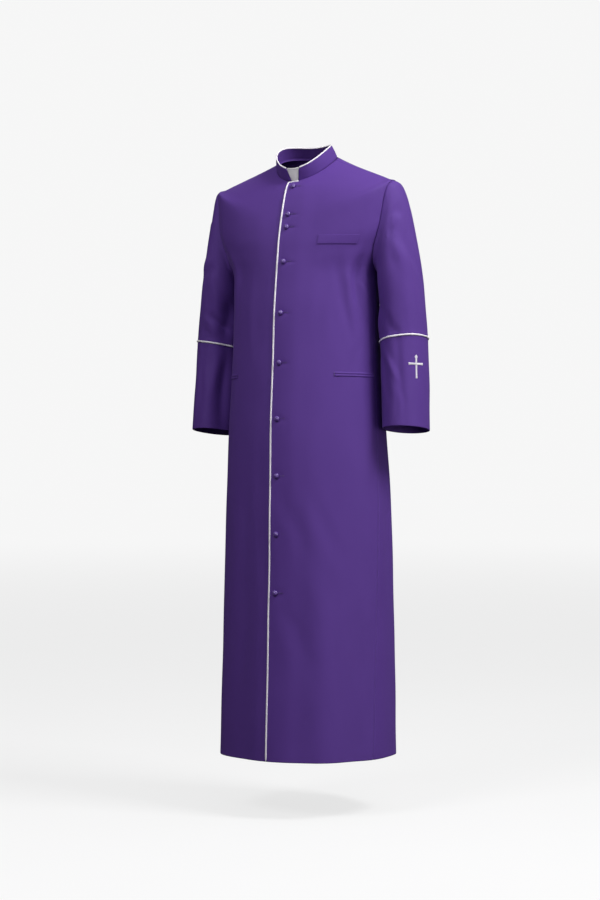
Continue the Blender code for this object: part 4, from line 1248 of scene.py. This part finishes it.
def cuff_place(over, z):
    """Points and normals of the left cuff, at a distance round it from the cross and a height."""
    middle, beside = (sleeve_points(CROSS_ANGLE + step, CROSS_RING, "left") for step in (0, 1))
    turn = CROSS_ANGLE - over / np.linalg.norm(beside - middle)
    ring = np.full(np.shape(over), CROSS_RING)
    for _ in range(6):
        here = sleeve_points(turn, ring, "left")[..., 2]
        slope = (sleeve_points(turn, ring + 0.01, "left")[..., 2] - here) / 0.01
        ring = ring + (z - here) / slope
    normals = normals_of(sleeve_points, turn, ring, last=CUFF_RING, arm="left")
    points = sleeve_points(turn, ring, "left")
    centre = sleeve_points(np.arange(0, 360, 10.0), CROSS_RING, "left").mean(axis=0)
    return points, facing_out(normals, points, centre)


def satin_bar(name, start, end, width_at, finish):
    """A padded bar of satin stitches between two places on the cuff: distance round it, and height."""
    start, end = np.array(start), np.array(end)
    length = np.linalg.norm(end - start)
    stitches = int(length / CROSS_STITCH)
    along = np.linspace(0, 1, stitches * CROSS_STITCH_STEPS + 1)
    edge = np.sin(np.linspace(-0.5, 0.5, CROSS_COLUMNS) * math.pi)
    ahead = (end - start) / length
    side = np.array([-ahead[1], ahead[0]])
    half = np.array([width_at(share) for share in along])[:, None] / 2
    rib = 1 + CROSS_RIB * np.cos(2 * math.pi * stitches * along)[:, None]
    flat = start + (end - start) * along[:, None]
    flat = flat[:, None] + side * (edge * half * (1 + CROSS_EDGE_RIB * (rib - 1)))[..., None]
    points, normals = cuff_place(flat[..., 0], flat[..., 1])
    ends = rounded_end(np.minimum(along, 1 - along) * length / CROSS_END, 0.1)[:, None]
    pad = CROSS_PAD * rib * ends * (CROSS_PAD_EDGE + (1 - CROSS_PAD_EDGE) * np.sqrt(1 - edge**2))
    grid = points + normals * (CLOTH / 2 + pad / 2)[..., None]
    over = np.broadcast_to((along * length)[:, None], pad.shape)
    places = np.stack([over, half * edge], axis=-1).reshape(-1, 2)
    piece = shell(name, (grid, normals), pad, finish, places=places)
    return piece


def make_cross(finish):
    """A plain Latin cross in satin stitch, with a knob at its top."""
    arm_z = CROSS_CENTRE_Z + CROSS_ARM_ABOVE_CENTRE
    top, bottom = CROSS_CENTRE_Z + CROSS_HEIGHT / 2, CROSS_CENTRE_Z - CROSS_HEIGHT / 2

    def upright(share):
        from_top, from_bottom = share * CROSS_HEIGHT, (1 - share) * CROSS_HEIGHT
        knob = math.exp(-(((from_top - CROSS_KNOB * 0.5) / CROSS_KNOB_HALF_WIDTH) ** 2))
        tip = CROSS_TIP_LEAST + (1 - CROSS_TIP_LEAST) * min(1.0, from_top / CROSS_TIP)
        foot = CROSS_FOOT_FLARE * math.exp(-((from_bottom / CROSS_FOOT_REACH) ** 2))
        return (CROSS_BAR + (CROSS_KNOB - CROSS_BAR) * knob) * tip + foot

    def crossbar(share):
        from_end = min(share, 1 - share) * CROSS_WIDTH
        return CROSS_ARM_BAR + CROSS_FLARE * math.exp(-((from_end / CROSS_FLARE_REACH) ** 2))

    upright_bar = satin_bar("cuff_cross_upright", (0.0, top), (0.0, bottom), upright, finish)
    satin_bar("cuff_cross_bar", (-CROSS_WIDTH / 2, arm_z), (CROSS_WIDTH / 2, arm_z), crossbar, finish)
    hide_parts("cuff_cross")


# Camera, floor and light


def make_floor():
    """A plain pale floor under the robe."""
    half = FLOOR_SIZE / 2
    mesh = bpy.data.meshes.new("floor")
    corners = [(x * half, y * half, FLOOR_Z) for x, y in ((-1, -1), (1, -1), (1, 1), (-1, 1))]
    mesh.from_pydata(corners, [], [(0, 1, 2, 3)])
    mesh.materials.append(plain_floor())
    floor = bpy.data.objects.new("floor", mesh)
    bpy.context.scene.collection.objects.link(floor)
    floor.visible_diffuse = False
    floor.visible_glossy = False


def make_camera():
    """The camera, from the wearer's front left, level with the skirt."""
    camera = bpy.data.objects.new("camera", bpy.data.cameras.new("camera"))
    camera.data.lens = CAMERA_LENS
    camera.data.sensor_width = CAMERA_SENSOR
    side = math.radians(CAMERA_SIDE)
    camera.location = (CAMERA_DISTANCE * math.sin(side), -CAMERA_DISTANCE * math.cos(side), CAMERA_Z)
    camera.rotation_euler = (math.radians(CAMERA_TILT), 0.0, math.radians(CAMERA_TURN))
    bpy.context.scene.collection.objects.link(camera)
    bpy.context.scene.camera = camera


def heading(side, up):
    """The direction at these degrees round from the front and up."""
    side, up = math.radians(side), math.radians(up)
    return Vector((math.sin(side) * math.cos(up), -math.cos(side) * math.cos(up), math.sin(up)))


def make_surround():
    """A wide soft glow from one side, and the pale backdrop that the camera sees."""
    world = bpy.data.worlds.new("studio")
    world.use_nodes = True
    nodes = Nodes(world.node_tree)
    sky = nodes.add("ShaderNodeTexCoord", {}).outputs["Generated"]
    both = {0: sky, 1: heading(GLOW_SIDE, GLOW_UP)}
    facing = nodes.add("ShaderNodeVectorMath", both, operation="DOT_PRODUCT").outputs["Value"]
    share = nodes.total(0.5, (facing, 0.5))
    glow = nodes.maths("MULTIPLY", nodes.maths("POWER", share, GLOW_POWER), GLOW_STRENGTH)
    light = nodes.tree.nodes["Background"]
    nodes.plug(light.inputs["Color"], WHITE)
    nodes.plug(light.inputs["Strength"], glow)
    backdrop = nodes.add("ShaderNodeBackground", {"Color": WHITE, "Strength": BACKDROP_TONE})
    seen = nodes.add("ShaderNodeLightPath", {}).outputs["Is Camera Ray"]
    either = nodes.add("ShaderNodeMixShader", {0: seen, 1: light.outputs[0], 2: backdrop.outputs[0]})
    nodes.plug(nodes.tree.nodes["World Output"].inputs["Surface"], either.outputs[0])
    bpy.context.scene.world = world


def make_lights():
    """Soft square lights: the key from the wearer's left, a fill from the front, and a low one."""
    for name, light in SOFT_LIGHTS.items():
        data = bpy.data.lights.new(name, "AREA")
        data.energy = light["power"]
        data.size = light["size"]
        towards = heading(light["side"], light["up"])
        lamp = bpy.data.objects.new(name, data)
        lamp.location = Vector(LIGHT_AIM) + towards * light["distance"]
        lamp.rotation_mode = "QUATERNION"
        lamp.rotation_quaternion = towards.to_track_quat("Z", "Y")
        lamp.visible_camera = False
        bpy.context.scene.collection.objects.link(lamp)
    make_surround()
    bpy.context.scene.view_settings.view_transform = "Standard"


def main():
    purple = suiting("purple_suiting_twill", 0.54, 0.2)
    covered = suiting("covered_button_satin", 0.20, 0.9)
    dark_thread = thread("purple_thread", HOLE_STITCH)
    trim = braid("white_piping_weave", PIPING_WEAVE_PITCH)
    tab = braid("white_tab_weave", TAB_WEAVE_PITCH)
    satin = thread("white_satin_thread", CROSS_STITCH)
    panels = make_panels(purple)
    make_sleeve("left", 1.0, purple, trim)
    make_sleeve("right", -1.0, purple, trim)
    make_tab(tab, make_collar(purple, trim))
    on_left = [make_front_piping(trim)]
    make_buttons(covered)
    on_left += make_buttonholes(dark_thread)
    on_left += make_hip_pocket(1, purple, dark_thread)
    on_right = make_hip_pocket(-1, purple, dark_thread)
    make_breast_welt(purple)
    make_cross(satin)
    make_floor()
    make_camera()
    make_lights()


main()
